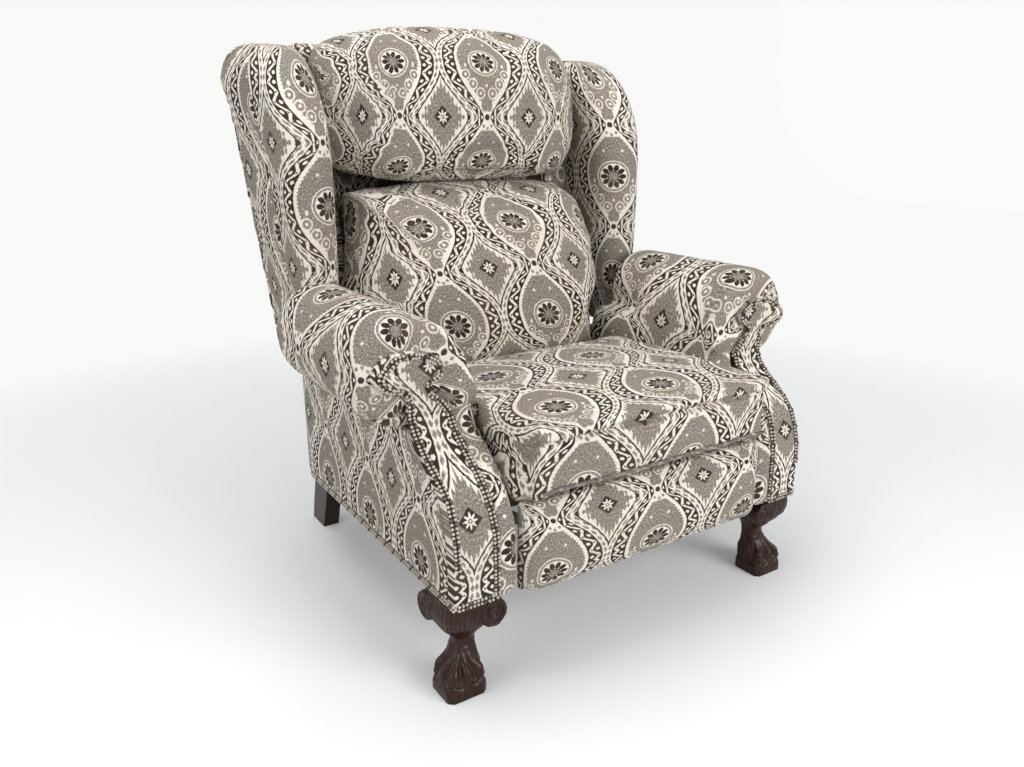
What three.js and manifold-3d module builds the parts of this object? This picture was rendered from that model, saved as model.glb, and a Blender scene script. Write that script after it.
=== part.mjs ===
// A high-leg wingback recliner with a push-back mechanism, in millimetres, +Z up.
// The chair faces -Y. "left" and "right" are the sitter's, so left is +X.
import * as THREE from "three";
import { mergeVertices } from "three/addons/utils/BufferGeometryUtils.js";
import Module from "manifold-3d";

const wasm = await Module();
wasm.setup();

// Clearances
const fit = 0.3; // between pieces that lie against each other
const coverGap = 3; // between covers that pass each other
const seatPlay = 3; // seat cushion to arm
const footrestPlay = 6; // footrest to arm
const footrestGap = 4; // footrest to seat cushion
const pinPlay = 0.5; // pin to hole
const openPinPlay = 1.9; // pin to hole where the linkage closes on itself
const openPinSlot = 4; // and how far the long link's hole runs on toward its end
const overrun = 20; // how far a cutting body runs past what it cuts

// Heights, stacked from the floor
const hemHeight = 175; // floor to the lower edge of the covers
const railRise = 150; // hem to the top of the side rails
const deckRise = 13; // side rails to the seat deck
const armRise = 176; // seat deck to the middle of the arm roll
const rollHalfHeight = 90;
const wingLift = 8; // underside of the roll to the wing bottom
const wingHeight = 590;

// Widths, from the middle plane outwards
const seatHalfWidth = 262; // middle plane to the inner face of an arm
const armWidth = 122; // inner face of an arm to its outside face
const rollHalfWidth = 83;
const rollOffset = 5; // roll centre outside the arm's outside face
const rearTaper = 39; // how far the outside panel turns in at the rear

// Depths, from the front to the rear
const armFront = -412; // front face of the arms at the hem
const armDepth = 724; // arm front to the rear face of the base
const sideTurnLength = 122; // part of that in which the panel turns in
const armSetback = 128; // how far the arm front steps back at the roll
const rollLength = 377; // front end to rear end of the roll
const reclinePivotBack = 552; // arm front to the recline pivot

// Arm covers and rolls
const padThickness = 28; // padded wall of the inside arm
const panelThickness = 12; // outside panels
const wrapRadius = 42; // corner where the inside arm wraps round to the front
const padLowerDrop = 8; // lower edge of the inside arm below the deck, behind the front wrap
const rollDome = 42; // length of the roll's domed front end
const rollTailDome = 34; // length of its rounded rear end
const facingThickness = 22;
const facingProud = 3; // facing in front of the wrapped cover
const scrollRadius = 38; // disc in the middle of the roll's front end
const gimpWidth = 12;
const gimpThickness = 3;

// Hardwood frame of the base
const sideRailWidth = 36;
const sideRailHeight = 106;
const sideRailSetback = 90; // behind the arm front
const postDepth = 46;
const armRailHeight = 25;
const crossRailWidth = 30;
const crossRailHeight = 90;
const baseRearLip = 20; // rear panel above the side rails

// Legs
const footWidth = 73;
const footDepth = 66;
const footProud = 6; // foot block outside the arm's outside face
const footSetback = 13; // foot block behind the arm front
const kneeSpread = 11; // how far the knee's scrolls stand out of its corners
const voluteRadius = 25;
const voluteDepth = 26;
const rearLegWidth = 35;
const rearLegDepth = 66;
const rearLegRake = 62; // foot behind the top of the leg
const rearLegInset = 80; // front edge of the leg at the hem, before the rear of the base
const rearLegSocket = 80; // length of the leg inside the base

// Seat
const seatOverhang = 12; // front of the cushion before the arm front
const seatCushionDepth = 444;
const seatBandRise = 78; // deck to the top seam of the front band
const seatRearRise = 70; // deck to the top seam at the rear
const seatLipDrop = 16; // lower edge of the front band below the deck
const seatLipDepth = 36; // depth of the lip in front of the seat frame
const seatCrown = 42; // how far the top swells over its seams
const seatFrontCrown = 26; // how far the front band swells forward
const seatCornerRadius = 60;
const seatFrameInset = 72; // front rail behind the cushion's front
const seatFrameDepth = 414;
const seatRailHeight = 50;
const seatRailWidth = 24;
const frontRailHeight = 22;
const springCount = 3;
const springSpacing = 105;
const springWire = 2; // radius of the wire
const springLoop = 26; // half width of the sinuous loops
const springLoops = 9;
const springArch = 9; // rise of a spring in its middle

// Steel mechanism
const steel = 3.2; // thickness of plates and links
const trackWidth = 32;
const trackInset = 52; // front of the glide track behind the seat frame's front
const trackLength = 384;
const seatPlateLength = 340;
const basePlateDrop = 48.2; // lower edge of the base plate under the track
const pivotRise = 15.8; // recline pivot over the track
const pivotPinRadius = 6;
const pivotCapRadius = 9.6;
const hingeBoss = 15;
const pinRadius = 4;
const linkHalfWidth = 10;
const rivetHead = 1.8;
const linkPivotInset = 110.7; // front link's pivot behind the seat frame's front
const linkPivotRise = 20.3; // and over the track
const rearPivotBack = 43; // rear link's pivot behind the front link's
const rearPivotDrop = 10.1; // and below it
const frontLink = 236.3; // pivot to the joint with the long link
const frontLinkAngle = 114.88; // degrees from straight up, turning to the rear
const frontLinkArm = 48.9; // from that joint to the tip link's
const frontLinkArmBend = 131.13; // degrees between the two
const longLink = 346.5; // from that joint to the footrest bracket
const longLinkTail = 55.1; // from that joint back to the rear link's
const longLinkAngle = 278.11;
const bracketSpan = 55.2; // between the bracket's two pivots
const bracketAngle = 351.47;
const bracketFlange = 28;
const bracketFootDrop = 16; // bracket's lower edge under its lower pivot
const bracketHeadRise = 6; // its upper edge over its upper pivot
const torqueTube = 22; // square tube between the two long links
const torqueTubePlaceShare = 0.42; // along the long link

// Footrest
const footrestDrop = 9; // lower edge below the hem
const footrestBoard = 12;
const footrestPad = 17; // pad at its edges
const footrestCrown = 22;

// Back
const backRake = 10; // degrees from upright
const backRearInset = 12; // outside back at the wing bottom, before the base's rear face
const wingInnerLow = 60; // wing's seat side outside the arm's inner face, at its bottom
const wingInnerHigh = 47; // and at its top
const wingOuterLow = 15; // outside of the wing beyond the arm's outside face, at its bottom
const wingOuterHigh = 42; // and at its top
const wingRearOuterHigh = 56; // and at its top rear
const wingFrontLow = 188; // wing bottom's depth, rear face of the base back to front
const wingFrontArm = 206; // and its depth where it clears the arm, at the same rear
const wingTopReach = 168; // how far the front edge falls back up to the top
const wingNoseInner = 62; // depth of the front edge's round on the seat side
const wingNoseOuter = 38; // and on the outside
const wingTopRound = 50;
const wingLining = 12; // wing padding carried across the post's front
const backPanelThickness = 12;
const backPostWidth = 38;
const backPostDepth = 58;
const backPostDrop = 60; // top of the posts under the top of the wings
const backRailHeight = 44;
const backRailDepth = 30;
const backTopRise = 70; // padded top of the back above the posts
const backTopRound = 26;
const bracketLegWidth = 22;
const bracketFootHeight = 34;

// Back cushions
const lumbarLift = 6; // over the deck
const lumbarHeight = 418;
const lumbarOverArm = 24; // half width at its widest, beyond the arm's inner face
const lumbarBehindSeat = 8; // most forward point before the seat cushion's rear
const lumbarFallBack = 108; // how far the face falls back at the top
const lumbarSkirtDepth = 92; // of the part below the back frame, behind the seat cushion
const headHeight = 296;
const headOverArm = 42; // half width beyond the arm's inner face
const headSetback = 85; // face of the pillow behind the lumbar cushion's
const headFallBack = 62;

// Derived heights
const sideRailTop = hemHeight + railRise;
const seatDeck = sideRailTop + deckRise;
const rollCentreHeight = seatDeck + armRise;
const rollBottom = rollCentreHeight - rollHalfHeight;
const armRailTop = rollBottom - fit;
const armRailBottom = armRailTop - armRailHeight;
const padLowerEdge = seatDeck - padLowerDrop;
const wingBottom = rollBottom + wingLift;
const wingTop = wingBottom + wingHeight;
const baseRearTop = sideRailTop + baseRearLip;
const hemTop = hemHeight + fit;
const trackHeight = seatDeck - seatRailHeight - steel - fit * 2;
const reclinePivotZ = trackHeight + pivotRise;
const seatCushionLip = seatDeck - seatLipDrop;
const seatBandTop = seatDeck + seatBandRise;
const seatRearTop = seatDeck + seatRearRise;
const footrestTop = seatCushionLip - footrestGap;
const footrestBottom = hemHeight - footrestDrop;
const backPostTop = wingTop - backPostDrop;
const lumbarBottom = seatDeck + lumbarLift;
const lumbarTop = lumbarBottom + lumbarHeight;
const headBottom = lumbarTop + footrestGap;
const headTop = headBottom + headHeight;

// Derived widths
const armOuter = seatHalfWidth + armWidth;
const rollCentre = armOuter + rollOffset;
const rollInner = rollCentre - rollHalfWidth;
const frameOuter = armOuter - panelThickness - fit;
const sideRailInner = seatHalfWidth + fit;
const sideRailOuter = sideRailInner + sideRailWidth;
const baseRearHalfWidth = armOuter - rearTaper;
const backPostInner = seatHalfWidth - steel - fit;
const backPostOuter = backPostInner + backPostWidth;
const cushionHalf = seatHalfWidth - seatPlay;
const footrestHalfWidth = seatHalfWidth - footrestPlay;
const wingRearHalfWidth = armOuter + wingRearOuterHigh;

// Derived depths
const rollFront = armFront + armSetback;
const rollRear = rollFront + rollLength;
const baseRear = armFront + armDepth;
const sideTurn = baseRear - sideTurnLength;
const reclinePivotY = armFront + reclinePivotBack;
const backRearFoot = baseRear - backRearInset;
const seatCushionFront = armFront - seatOverhang;
const seatCushionRear = seatCushionFront + seatCushionDepth;
const seatFrameFront = seatCushionFront + seatFrameInset;
const seatFrameRear = seatFrameFront + seatFrameDepth;
const trackFront = seatFrameFront + trackInset;
const trackRear = trackFront + trackLength;
const seatPlateRear = trackFront + seatPlateLength;
const basePlateRear = reclinePivotY + hingeBoss + trackWidth / 3;
const lumbarFront = seatCushionRear - lumbarBehindSeat;
const headFront = lumbarFront + headSetback;

const { degToRad } = THREE.MathUtils;

// Finishes, each mesh with a material of its own
const finishes = {
  fabric: { color: 0x9d9488, roughness: 0.92, metalness: 0 },
  welt: { color: 0x6d6459, roughness: 0.9, metalness: 0 },
  walnut: { color: 0x2c1a14, roughness: 0.38, metalness: 0 },
  hardwood: { color: 0xb08c5e, roughness: 0.7, metalness: 0 },
  steel: { color: 0x55575a, roughness: 0.45, metalness: 0.9 },
};

const chair = new THREE.Group();

/** Adds one named mesh with its own material to the chair. */
function addPiece(name, geometry, finish) {
  geometry.computeVertexNormals();
  const mesh = new THREE.Mesh(geometry, new THREE.MeshStandardMaterial(finishes[finish]));
  mesh.name = name;
  chair.add(mesh);
  return mesh;
}

/** Adds a left piece (+X) and its mirror image on the right. */
function addPair(name, geometry, finish) {
  addPiece(name + "_left", geometry, finish);
  addPiece(name + "_right", mirrored(geometry), finish);
}

/** Only positions and an index, with shared corners merged. */
function plain(geometry) {
  const bare = geometry.clone();
  bare.deleteAttribute("normal");
  bare.deleteAttribute("uv");
  return mergeVertices(bare, fit / 100);
}

function mirrored(geometry) {
  const image = plain(geometry);
  image.scale(-1, 1, 1);
  const index = image.index.array;
  for (let i = 0; i < index.length; i += 3) {
    [index[i + 1], index[i + 2]] = [index[i + 2], index[i + 1]];
  }
  return image;
}

function toSolid(geometry) {
  const shell = plain(geometry);
  const data = {
    numProp: 3,
    vertProperties: new Float32Array(shell.attributes.position.array),
    triVerts: new Uint32Array(shell.index.array),
  };
  return new wasm.Manifold(new wasm.Mesh(data));
}

function fromSolid(solid) {
  const mesh = solid.getMesh();
  const geometry = new THREE.BufferGeometry();
  const positions = new Float32Array(mesh.numVert * 3);
  for (let i = 0; i < mesh.numVert; i++) {
    const start = i * mesh.numProp;
    positions.set(mesh.vertProperties.subarray(start, start + 3), i * 3);
  }
  geometry.setAttribute("position", new THREE.BufferAttribute(positions, 3));
  geometry.setIndex([...mesh.triVerts]);
  return geometry;
}

function joined(...geometries) {
  return fromSolid(geometries.map(toSolid).reduce((a, b) => a.add(b)));
}

function cutAway(geometry, ...tools) {
  return fromSolid(tools.map(toSolid).reduce((a, b) => a.subtract(b), toSolid(geometry)));
}

function common(a, b) {
  return fromSolid(toSolid(a).intersect(toSolid(b)));
}

/** Signed volume of an indexed closed mesh. */
function signedVolume(positions, index) {
  const [a, b, c] = [new THREE.Vector3(), new THREE.Vector3(), new THREE.Vector3()];
  let sum = 0;
  for (let i = 0; i < index.length; i += 3) {
    a.fromArray(positions, index[i] * 3);
    b.fromArray(positions, index[i + 1] * 3);
    c.fromArray(positions, index[i + 2] * 3);
    sum += a.dot(b.cross(c));
  }
  return sum / 6;
}

/** Closes a stack of rings with equal point counts into one solid. A pole ends the stack in a point. */
function loft(rings, firstPole = null, lastPole = null) {
  const count = rings[0].length;
  const positions = rings.flat().flatMap((p) => [p.x, p.y, p.z]);
  const index = [];
  for (let r = 0; r + 1 < rings.length; r++) {
    for (let i = 0; i < count; i++) {
      const a = r * count + i;
      const b = r * count + ((i + 1) % count);
      index.push(a, b, b + count, a, b + count, a + count);
    }
  }
  const closeEnd = (ringNumber, pole, flip) => {
    const start = ringNumber * count;
    const faces = [];
    if (pole) {
      const tip = positions.length / 3;
      positions.push(pole.x, pole.y, pole.z);
      for (let i = 0; i < count; i++) faces.push([start + ((i + 1) % count), start + i, tip]);
    } else {
      const flat = flattened(rings[ringNumber]);
      for (const corners of THREE.ShapeUtils.triangulateShape(flat, [])) {
        faces.push(windingLike(start, ...corners));
      }
    }
    for (const [a, b, c] of faces) index.push(...(flip ? [a, c, b] : [a, b, c]));
  };
  closeEnd(0, firstPole, false);
  closeEnd(rings.length - 1, lastPole, true);
  if (signedVolume(positions, index) < 0) {
    for (let i = 0; i < index.length; i += 3) {
      [index[i + 1], index[i + 2]] = [index[i + 2], index[i + 1]];
    }
  }
  const geometry = new THREE.BufferGeometry();
  geometry.setAttribute("position", new THREE.Float32BufferAttribute(positions, 3));
  geometry.setIndex(index);
  return geometry;
}

/** A cap triangle of a ring, turned against the ring's own order. */
function windingLike(start, a, b, c) {
  const rising = (a < b ? 1 : 0) + (b < c ? 1 : 0) + (c < a ? 1 : 0);
  return rising === 2 ? [start + a, start + c, start + b] : [start + a, start + b, start + c];
}

/** A ring seen along the axis in which it is thinnest. */
function flattened(ring) {
  const size = new THREE.Box3().setFromPoints(ring).getSize(new THREE.Vector3());
  if (size.x <= size.y && size.x <= size.z) return ring.map((p) => new THREE.Vector2(p.y, p.z));
  if (size.y <= size.z) return ring.map((p) => new THREE.Vector2(p.x, p.z));
  return ring.map((p) => new THREE.Vector2(p.x, p.y));
}

function box(x0, x1, y0, y1, z0, z1) {
  const geometry = new THREE.BoxGeometry(x1 - x0, y1 - y0, z1 - z0);
  return geometry.translate((x0 + x1) / 2, (y0 + y1) / 2, (z0 + z1) / 2);
}

/** An outline of [y, z] points, or a Shape in y and z, as a plate between two x planes. */
function plateX(outline, x0, x1, curveSegments = 6) {
  const shape = outline instanceof THREE.Shape
    ? outline
    : new THREE.Shape(outline.map(([y, z]) => new THREE.Vector2(y, z)));
  const geometry = new THREE.ExtrudeGeometry(shape, { depth: x1 - x0, bevelEnabled: false, curveSegments });
  const turn = new THREE.Matrix4().makeBasis(
    new THREE.Vector3(0, 1, 0),
    new THREE.Vector3(0, 0, 1),
    new THREE.Vector3(1, 0, 0),
  );
  return geometry.applyMatrix4(turn).translate(x0, 0, 0);
}

const rodSides = 12;
const pivotSides = 16;

/** A round rod along x with its centre at y, z. */
function rodX(y, z, radius, x0, x1, sides = rodSides) {
  const geometry = new THREE.CylinderGeometry(radius, radius, x1 - x0, sides);
  return geometry.rotateZ(Math.PI / 2).translate((x0 + x1) / 2, y, z);
}

/** Straight-line reading of a table of [place share, value share] rows. */
function readShares(shares, place) {
  if (place <= shares[0][0]) return shares[0][1];
  for (let i = 1; i < shares.length; i++) {
    const [p1, v1] = shares[i];
    const [p0, v0] = shares[i - 1];
    if (place <= p1) return v0 + ((v1 - v0) * (place - p0)) / (p1 - p0);
  }
  return shares[shares.length - 1][1];
}

const mix = (a, b, share) => a + (b - a) * share;
const point = (x, y, z) => new THREE.Vector3(x, y, z);

// Arm front: how far it steps back, and how far the inside face leans out, against height
const armHeight = rollCentreHeight - hemHeight;
const setbackShares = [
  [0.3, 0.01], [0.42, 0.09], [0.5, 0.18], [0.56, 0.33], [0.62, 0.535], [0.68, 0.75],
  [0.74, 0.9], [0.8, 0.97], [0.86, 0.95], [0.91, 0.9], [0.96, 0.875],
];
const innerLeanShares = [[0.8, 0], [0.86, 0.1], [0.91, 0.36], [0.95, 0.7], [0.98, 1]];
const facingInnerShares = [
  [0, 0.35], [0.37, 0.35], [0.5, 0.4], [0.66, 0.41], [0.8, 0.43], [0.86, 0.5], [0.91, 0.6],
];
const facingOuterShares = [[0, 1], [0.5, 1], [0.62, 1.035], [0.78, 1.04], [0.86, 1.09], [0.91, 1.17]];
const armLevelShares = [0, 0.2, 0.32, 0.42, 0.5, 0.56, 0.62, 0.68, 0.74, 0.8, 0.86, 0.91];

const armShareAt = (z) => (z - hemHeight) / armHeight;
const armLevels = [hemTop, ...armLevelShares.slice(1).map((share) => hemHeight + armHeight * share)];
const armFrontAt = (z) => armFront + armSetback * readShares(setbackShares, armShareAt(z));
const armInnerAt = (z) => mix(seatHalfWidth, rollInner - fit, readShares(innerLeanShares, armShareAt(z)));
const facingInnerAt = (z) => seatHalfWidth + armWidth * readShares(facingInnerShares, armShareAt(z));
const facingOuterAt = (z) => seatHalfWidth + armWidth * readShares(facingOuterShares, armShareAt(z));

/** Section of the arm roll: round, but squared where it sits on the arm rail. */
function rollRing(y, scale, grow = 0) {
  const count = 24;
  const squareness = 7;
  const ring = [];
  for (let i = 0; i < count; i++) {
    const t = (i / count) * Math.PI * 2;
    const c = Math.cos(t);
    const s = Math.sin(t);
    const n = c < 0 && s < 0 ? squareness : 2;
    const x = Math.sign(c) * Math.abs(c) ** (2 / n);
    const z = Math.sign(s) * Math.abs(s) ** (2 / n);
    ring.push(point(
      rollCentre + (rollHalfWidth + grow) * scale * x,
      y,
      rollCentreHeight + (rollHalfHeight + grow) * scale * z,
    ));
  }
  return ring;
}

/** The roll's rings: a domed front end round the scroll disc, a long body and a rounded rear end. */
function rollShape(grow = 0) {
  const discShare = scrollRadius / rollHalfWidth;
  const frontShares = [[0, discShare], [0.04, 0.66], [0.12, 0.81], [0.28, 0.92], [0.55, 0.98], [1, 1]];
  const rearShares = [[1, 1], [0.6, 0.97], [0.3, 0.88], [0.1, 0.72], [0, 0.52]];
  const front = rollFront - grow;
  const rings = frontShares.map(([place, scale]) => rollRing(front + rollDome * place, scale, grow));
  rings.push(rollRing(mix(rollFront, rollRear, 0.5), 1, grow));
  for (const [place, scale] of rearShares) {
    rings.push(rollRing(rollRear + grow - rollTailDome * place, scale, grow));
  }
  return loft(rings);
}

/** The inside arm: a padded wall that wraps round the arm front and runs up to the roll. */
function insideArm() {
  const cornerSteps = 5;
  const outline = (z, rear) => {
    const inner = armInnerAt(z);
    const front = armFrontAt(z);
    const wrapEnd = facingInnerAt(z) - fit;
    const radius = Math.min(wrapRadius, wrapEnd - inner - fit);
    const back = front + facingThickness;
    const elbow = Math.min(padThickness, (wrapEnd - inner) / 2);
    const ring = [point(inner, rear, z)];
    for (let i = 0; i <= cornerSteps; i++) {
      const t = (i / cornerSteps) * (Math.PI / 2);
      ring.push(point(inner + radius * (1 - Math.cos(t)), front + radius * (1 - Math.sin(t)), z));
    }
    ring.push(point(wrapEnd, front, z), point(wrapEnd, back, z));
    ring.push(point(inner + elbow + fit, back + fit, z), point(inner + elbow, back + elbow, z));
    ring.push(point(inner + elbow, rear, z));
    return ring;
  };
  const wingGap = wingBottom - coverGap;
  const shelf = [padLowerEdge - fit, padLowerEdge, wingGap - fit, wingGap];
  const sweep = wingGap - reclinePivotZ;
  const rearAt = (z) => {
    if (z < padLowerEdge) return armFrontAt(z) + wrapRadius + padThickness;
    if (z >= wingGap) return rollRear;
    return Math.min(sideTurn, reclinePivotY + Math.sqrt(sweep ** 2 - (z - reclinePivotZ) ** 2));
  };
  const heights = [...armLevels, ...shelf].sort((a, b) => a - b);
  return cutAway(loft(heights.map((z) => outline(z, rearAt(z)))), rollShape(fit));
}

/** The narrow serpentine front panel that ends in the scroll disc. */
function facing() {
  const discSteps = 10;
  const rings = armLevels.map((z) => [facingInnerAt(z), facingOuterAt(z), z]);
  const discLow = Math.asin((armLevels[armLevels.length - 1] - rollCentreHeight) / scrollRadius);
  for (let i = 1; i < discSteps; i++) {
    const t = mix(discLow, Math.PI / 2, i / discSteps);
    const half = scrollRadius * Math.cos(t);
    rings.push([rollCentre - half, rollCentre + half, rollCentreHeight + scrollRadius * Math.sin(t)]);
  }
  return loft(rings.map(([inner, outer, z]) => {
    const front = armFrontAt(z) - facingProud;
    const back = Math.min(armFrontAt(z) + facingThickness, rollFront - fit);
    return [point(inner, front, z), point(outer, front, z), point(outer, back, z), point(inner, back, z)];
  }));
}

/** Side view of the outside panel: behind the facing, under the roll, and falling away below the back. */
function sideOutline() {
  const topZ = rollBottom - fit;
  const behindFacing = (z) => [armFrontAt(z) + facingThickness + fit, z];
  const front = [...armLevels.filter((z) => z < topZ - coverGap), topZ].map(behindFacing);
  return [...front, [reclinePivotY, topZ], ...sweepArc(), [baseRear, baseRearTop], [baseRear, hemTop]];
}

/** Points that stay inside the circle which the wing bottom sweeps about the recline pivot. */
function sweepArc() {
  const radius = wingBottom - reclinePivotZ - coverGap;
  const sweepDegrees = [12, 20, 28];
  return sweepDegrees.map((angle) => [
    reclinePivotY + radius * Math.sin(degToRad(angle)),
    reclinePivotZ + radius * Math.cos(degToRad(angle)),
  ]);
}

/** Plan view of the outside panel: straight side, then turning in to the rear corner. */
function outsidePanel() {
  const frontEnd = armFront - overrun;
  const turnSteps = 6;
  const turnPower = 1.5;
  const outer = [[armOuter, frontEnd]];
  const inner = [[armOuter - panelThickness, frontEnd]];
  for (let i = 0; i <= turnSteps; i++) {
    const share = i / turnSteps;
    const y = mix(sideTurn, baseRear, share);
    const x = armOuter - rearTaper * share ** turnPower;
    outer.push([x, y]);
    inner.push([x - panelThickness, y]);
  }
  const shape = new THREE.Shape([...outer, ...inner.reverse()].map(([x, y]) => new THREE.Vector2(x, y)));
  const wall = new THREE.ExtrudeGeometry(shape, { depth: rollCentreHeight, bevelEnabled: false });
  const profile = plateX(sideOutline(), baseRearHalfWidth - panelThickness - overrun, armOuter + overrun);
  return common(wall, profile);
}

// Rings of a front leg: [height share of the hem, outer, inner, front and rear reach, squareness, toes]
const legShares = [
  [0, 1, 0, 1, 0, 9, 0],
  [0.09, 1, 0, 1, 0, 9, 0],
  [0.14, 0.97, 0.02, 0.97, 0.02, 7, 0],
  [0.19, 0.99, 0.01, 0.99, 0.01, 5, 0.03],
  [0.26, 0.92, 0.03, 0.92, 0.03, 4, 0.05],
  [0.33, 0.8, 0.04, 0.8, 0.04, 3.4, 0.05],
  [0.41, 0.66, 0.06, 0.67, 0.06, 3, 0.03],
  [0.48, 0.58, 0.07, 0.6, 0.06, 2.8, 0.01],
  [0.54, 0.58, 0.06, 0.61, 0.04, 2.8, 0],
  [0.6, 0.7, 0.01, 0.72, 0, 3, 0],
  [0.67, 0.88, -0.08, 0.9, -0.1, 3.4, 0],
  [0.75, 1, -0.18, 1.06, -0.2, 3.8, 0],
  [0.84, 1.04, -0.27, 1.13, -0.28, 4.2, 0],
  [0.92, 1.02, -0.32, 1.14, -0.34, 5, 0],
  [1, 0.96, -0.34, 1.08, -0.38, 6, 0],
];

/** A carved cabriole front leg: square clawed foot, thin ankle and a scrolled knee. */
function frontLeg() {
  const outer = armOuter + footProud;
  const inner = outer - footWidth;
  const front = armFront + footSetback;
  const rear = front + footDepth;
  const count = 24;
  const toes = 8;
  const rings = legShares.map(([level, out, inn, fwd, back, squareness, claw]) => {
    const x1 = mix(inner, outer, out);
    const x0 = mix(inner, outer, inn);
    const y1 = mix(rear, front, fwd);
    const y0 = mix(rear, front, back);
    const ring = [];
    for (let i = 0; i < count; i++) {
      const t = ((i + 0.5) / count) * Math.PI * 2;
      const [c, s] = [Math.cos(t), Math.sin(t)];
      const swell = 1 + claw * Math.cos(toes * t);
      const reach = swell / (Math.abs(c) ** squareness + Math.abs(s) ** squareness) ** (1 / squareness);
      ring.push(point(
        (x0 + x1) / 2 + (Math.abs(x1 - x0) / 2) * reach * c,
        (y0 + y1) / 2 + (Math.abs(y1 - y0) / 2) * reach * s,
        hemHeight * level,
      ));
    }
    return ring;
  });
  const kneeRow = legShares[legShares.length - 3];
  const faceY = mix(rear, front, kneeRow[3]);
  const faceX = mix(inner, outer, kneeRow[1]);
  const kneeInner = mix(inner, outer, kneeRow[2]);
  const kneeRear = mix(rear, front, kneeRow[4]);
  const voluteHeight = hemHeight - voluteRadius - coverGap;
  const sinkShare = 0.92;
  const overlap = voluteRadius - kneeSpread;
  const towardFront = volute().rotateX(Math.PI / 2);
  towardFront.translate(kneeInner + overlap, faceY + voluteDepth * sinkShare, voluteHeight);
  const towardSide = volute().rotateY(Math.PI / 2);
  towardSide.translate(faceX - voluteDepth * sinkShare, kneeRear - overlap, voluteHeight);
  return joined(loft(rings), towardFront, towardSide);
}

/** A scroll with stepped rings on its face, turned about z. */
function volute() {
  const turnings = 16;
  const ringShares = [
    [1, 0], [1, 0.9], [0.86, 1], [0.74, 1], [0.66, 0.9],
    [0.54, 0.9], [0.46, 1], [0.34, 1], [0.26, 0.9], [0, 0.9],
  ];
  const profile = [new THREE.Vector2(0, 0)];
  for (const [radius, depth] of ringShares) {
    profile.push(new THREE.Vector2(voluteRadius * radius, voluteDepth * depth));
  }
  return new THREE.LatheGeometry(profile, turnings).rotateX(Math.PI / 2);
}

/** A plain rear leg, raked back, with its top bolted to the side rail. */
function rearLeg() {
  const inner = sideRailOuter + fit;
  const outer = inner + rearLegWidth;
  const topZ = hemHeight + rearLegSocket;
  const slope = rearLegRake / hemHeight;
  const topFront = baseRear - rearLegInset;
  const floorFront = topFront + rearLegRake;
  const bulgeShare = 0.1;
  const bulge = rearLegDepth * bulgeShare;
  const levelShares = [0, 0.28, 0.6, 1];
  const front = levelShares.map((share) => [floorFront - rearLegRake * share, hemHeight * share]);
  const rear = levelShares.map((share) => [
    floorFront - rearLegRake * share + rearLegDepth + bulge * Math.sin(Math.PI * share),
    hemHeight * share,
  ]);
  const socketFront = [topFront - (slope * rearLegSocket) / 3, topZ];
  const socketRear = [topFront + rearLegDepth - slope * rearLegSocket, topZ];
  return plateX([...front, socketFront, socketRear, ...rear.reverse()], inner, outer);
}

/** A flat braid through rows of centre, half-width vector and outward vector, held just off its ground. */
function braid(rows, ground) {
  return loft(rows.map(({ at, across, out }) => {
    const edges = [at.clone().sub(across), at.clone().add(across)].map((edge) => ground(edge, out));
    const [low, high] = [fit * 2, fit * 2 + gimpThickness].map((rise) => (
      edges.map((edge) => edge.clone().addScaledVector(out, rise))
    ));
    return [low[0], low[1], high[1], high[0]];
  }));
}

/** The braid: along the hem, up the facing's inner edge, round the scroll disc and down its outer edge. */
function gimp() {
  const side = point(1, 0, 0);
  const forward = point(0, -1, 0);
  const half = gimpWidth / 2;
  const hemLine = hemTop + half;
  const upright = point(0, 0, half);
  const hemSteps = 3;
  const rows = [];
  for (let i = 0; i <= hemSteps; i++) {
    const y = mix(sideTurn, armFront + gimpWidth, i / hemSteps);
    rows.push({ at: point(armOuter, y, hemLine), across: upright, out: side });
  }
  const corner = point(armOuter, armFront - facingProud, hemLine);
  rows.push({ at: corner, across: upright, out: point(1, -1, 0) });
  const innerLine = (z) => facingInnerAt(z) + half;
  const outerLine = (z) => facingOuterAt(z) - half;
  const onFace = (x, z, across) => rows.push({ at: point(x, 0, z), across, out: forward });
  onFace(armOuter - gimpWidth, hemLine, upright);
  onFace(innerLine(hemLine) + half, hemLine, upright);
  onFace(innerLine(hemLine), hemLine, point(half, 0, half));
  const climb = armLevels.slice(1);
  const sideways = point(half, 0, 0);
  onFace(innerLine(hemLine), hemLine + gimpWidth, sideways);
  for (const z of climb) onFace(innerLine(z), z, sideways);
  const discSteps = 14;
  const discEdge = Math.asin((climb[climb.length - 1] - rollCentreHeight) / scrollRadius);
  for (let i = 1; i < discSteps; i++) {
    const t = mix(Math.PI - discEdge, discEdge, i / discSteps);
    const ray = point(Math.cos(t), 0, Math.sin(t));
    const centre = point(rollCentre, 0, rollCentreHeight).addScaledVector(ray, scrollRadius - half);
    onFace(centre.x, centre.z, ray.multiplyScalar(-half));
  }
  for (const z of climb.reverse()) onFace(outerLine(z), z, sideways.clone().negate());
  onFace(outerLine(hemLine), hemLine + gimpWidth + coverGap, sideways.clone().negate());
  const ground = (edge, out) => (
    out === forward ? point(edge.x, armFrontAt(edge.z) - facingProud, edge.z) : edge
  );
  return braid(rows, ground);
}

function buildArms() {
  addPair("inside_arm", insideArm(), "fabric");
  addPair("arm_roll", rollShape(), "fabric");
  addPair("outside_panel", outsidePanel(), "fabric");
  addPair("arm_facing", facing(), "fabric");
  addPair("arm_gimp", gimp(), "welt");
}

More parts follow.
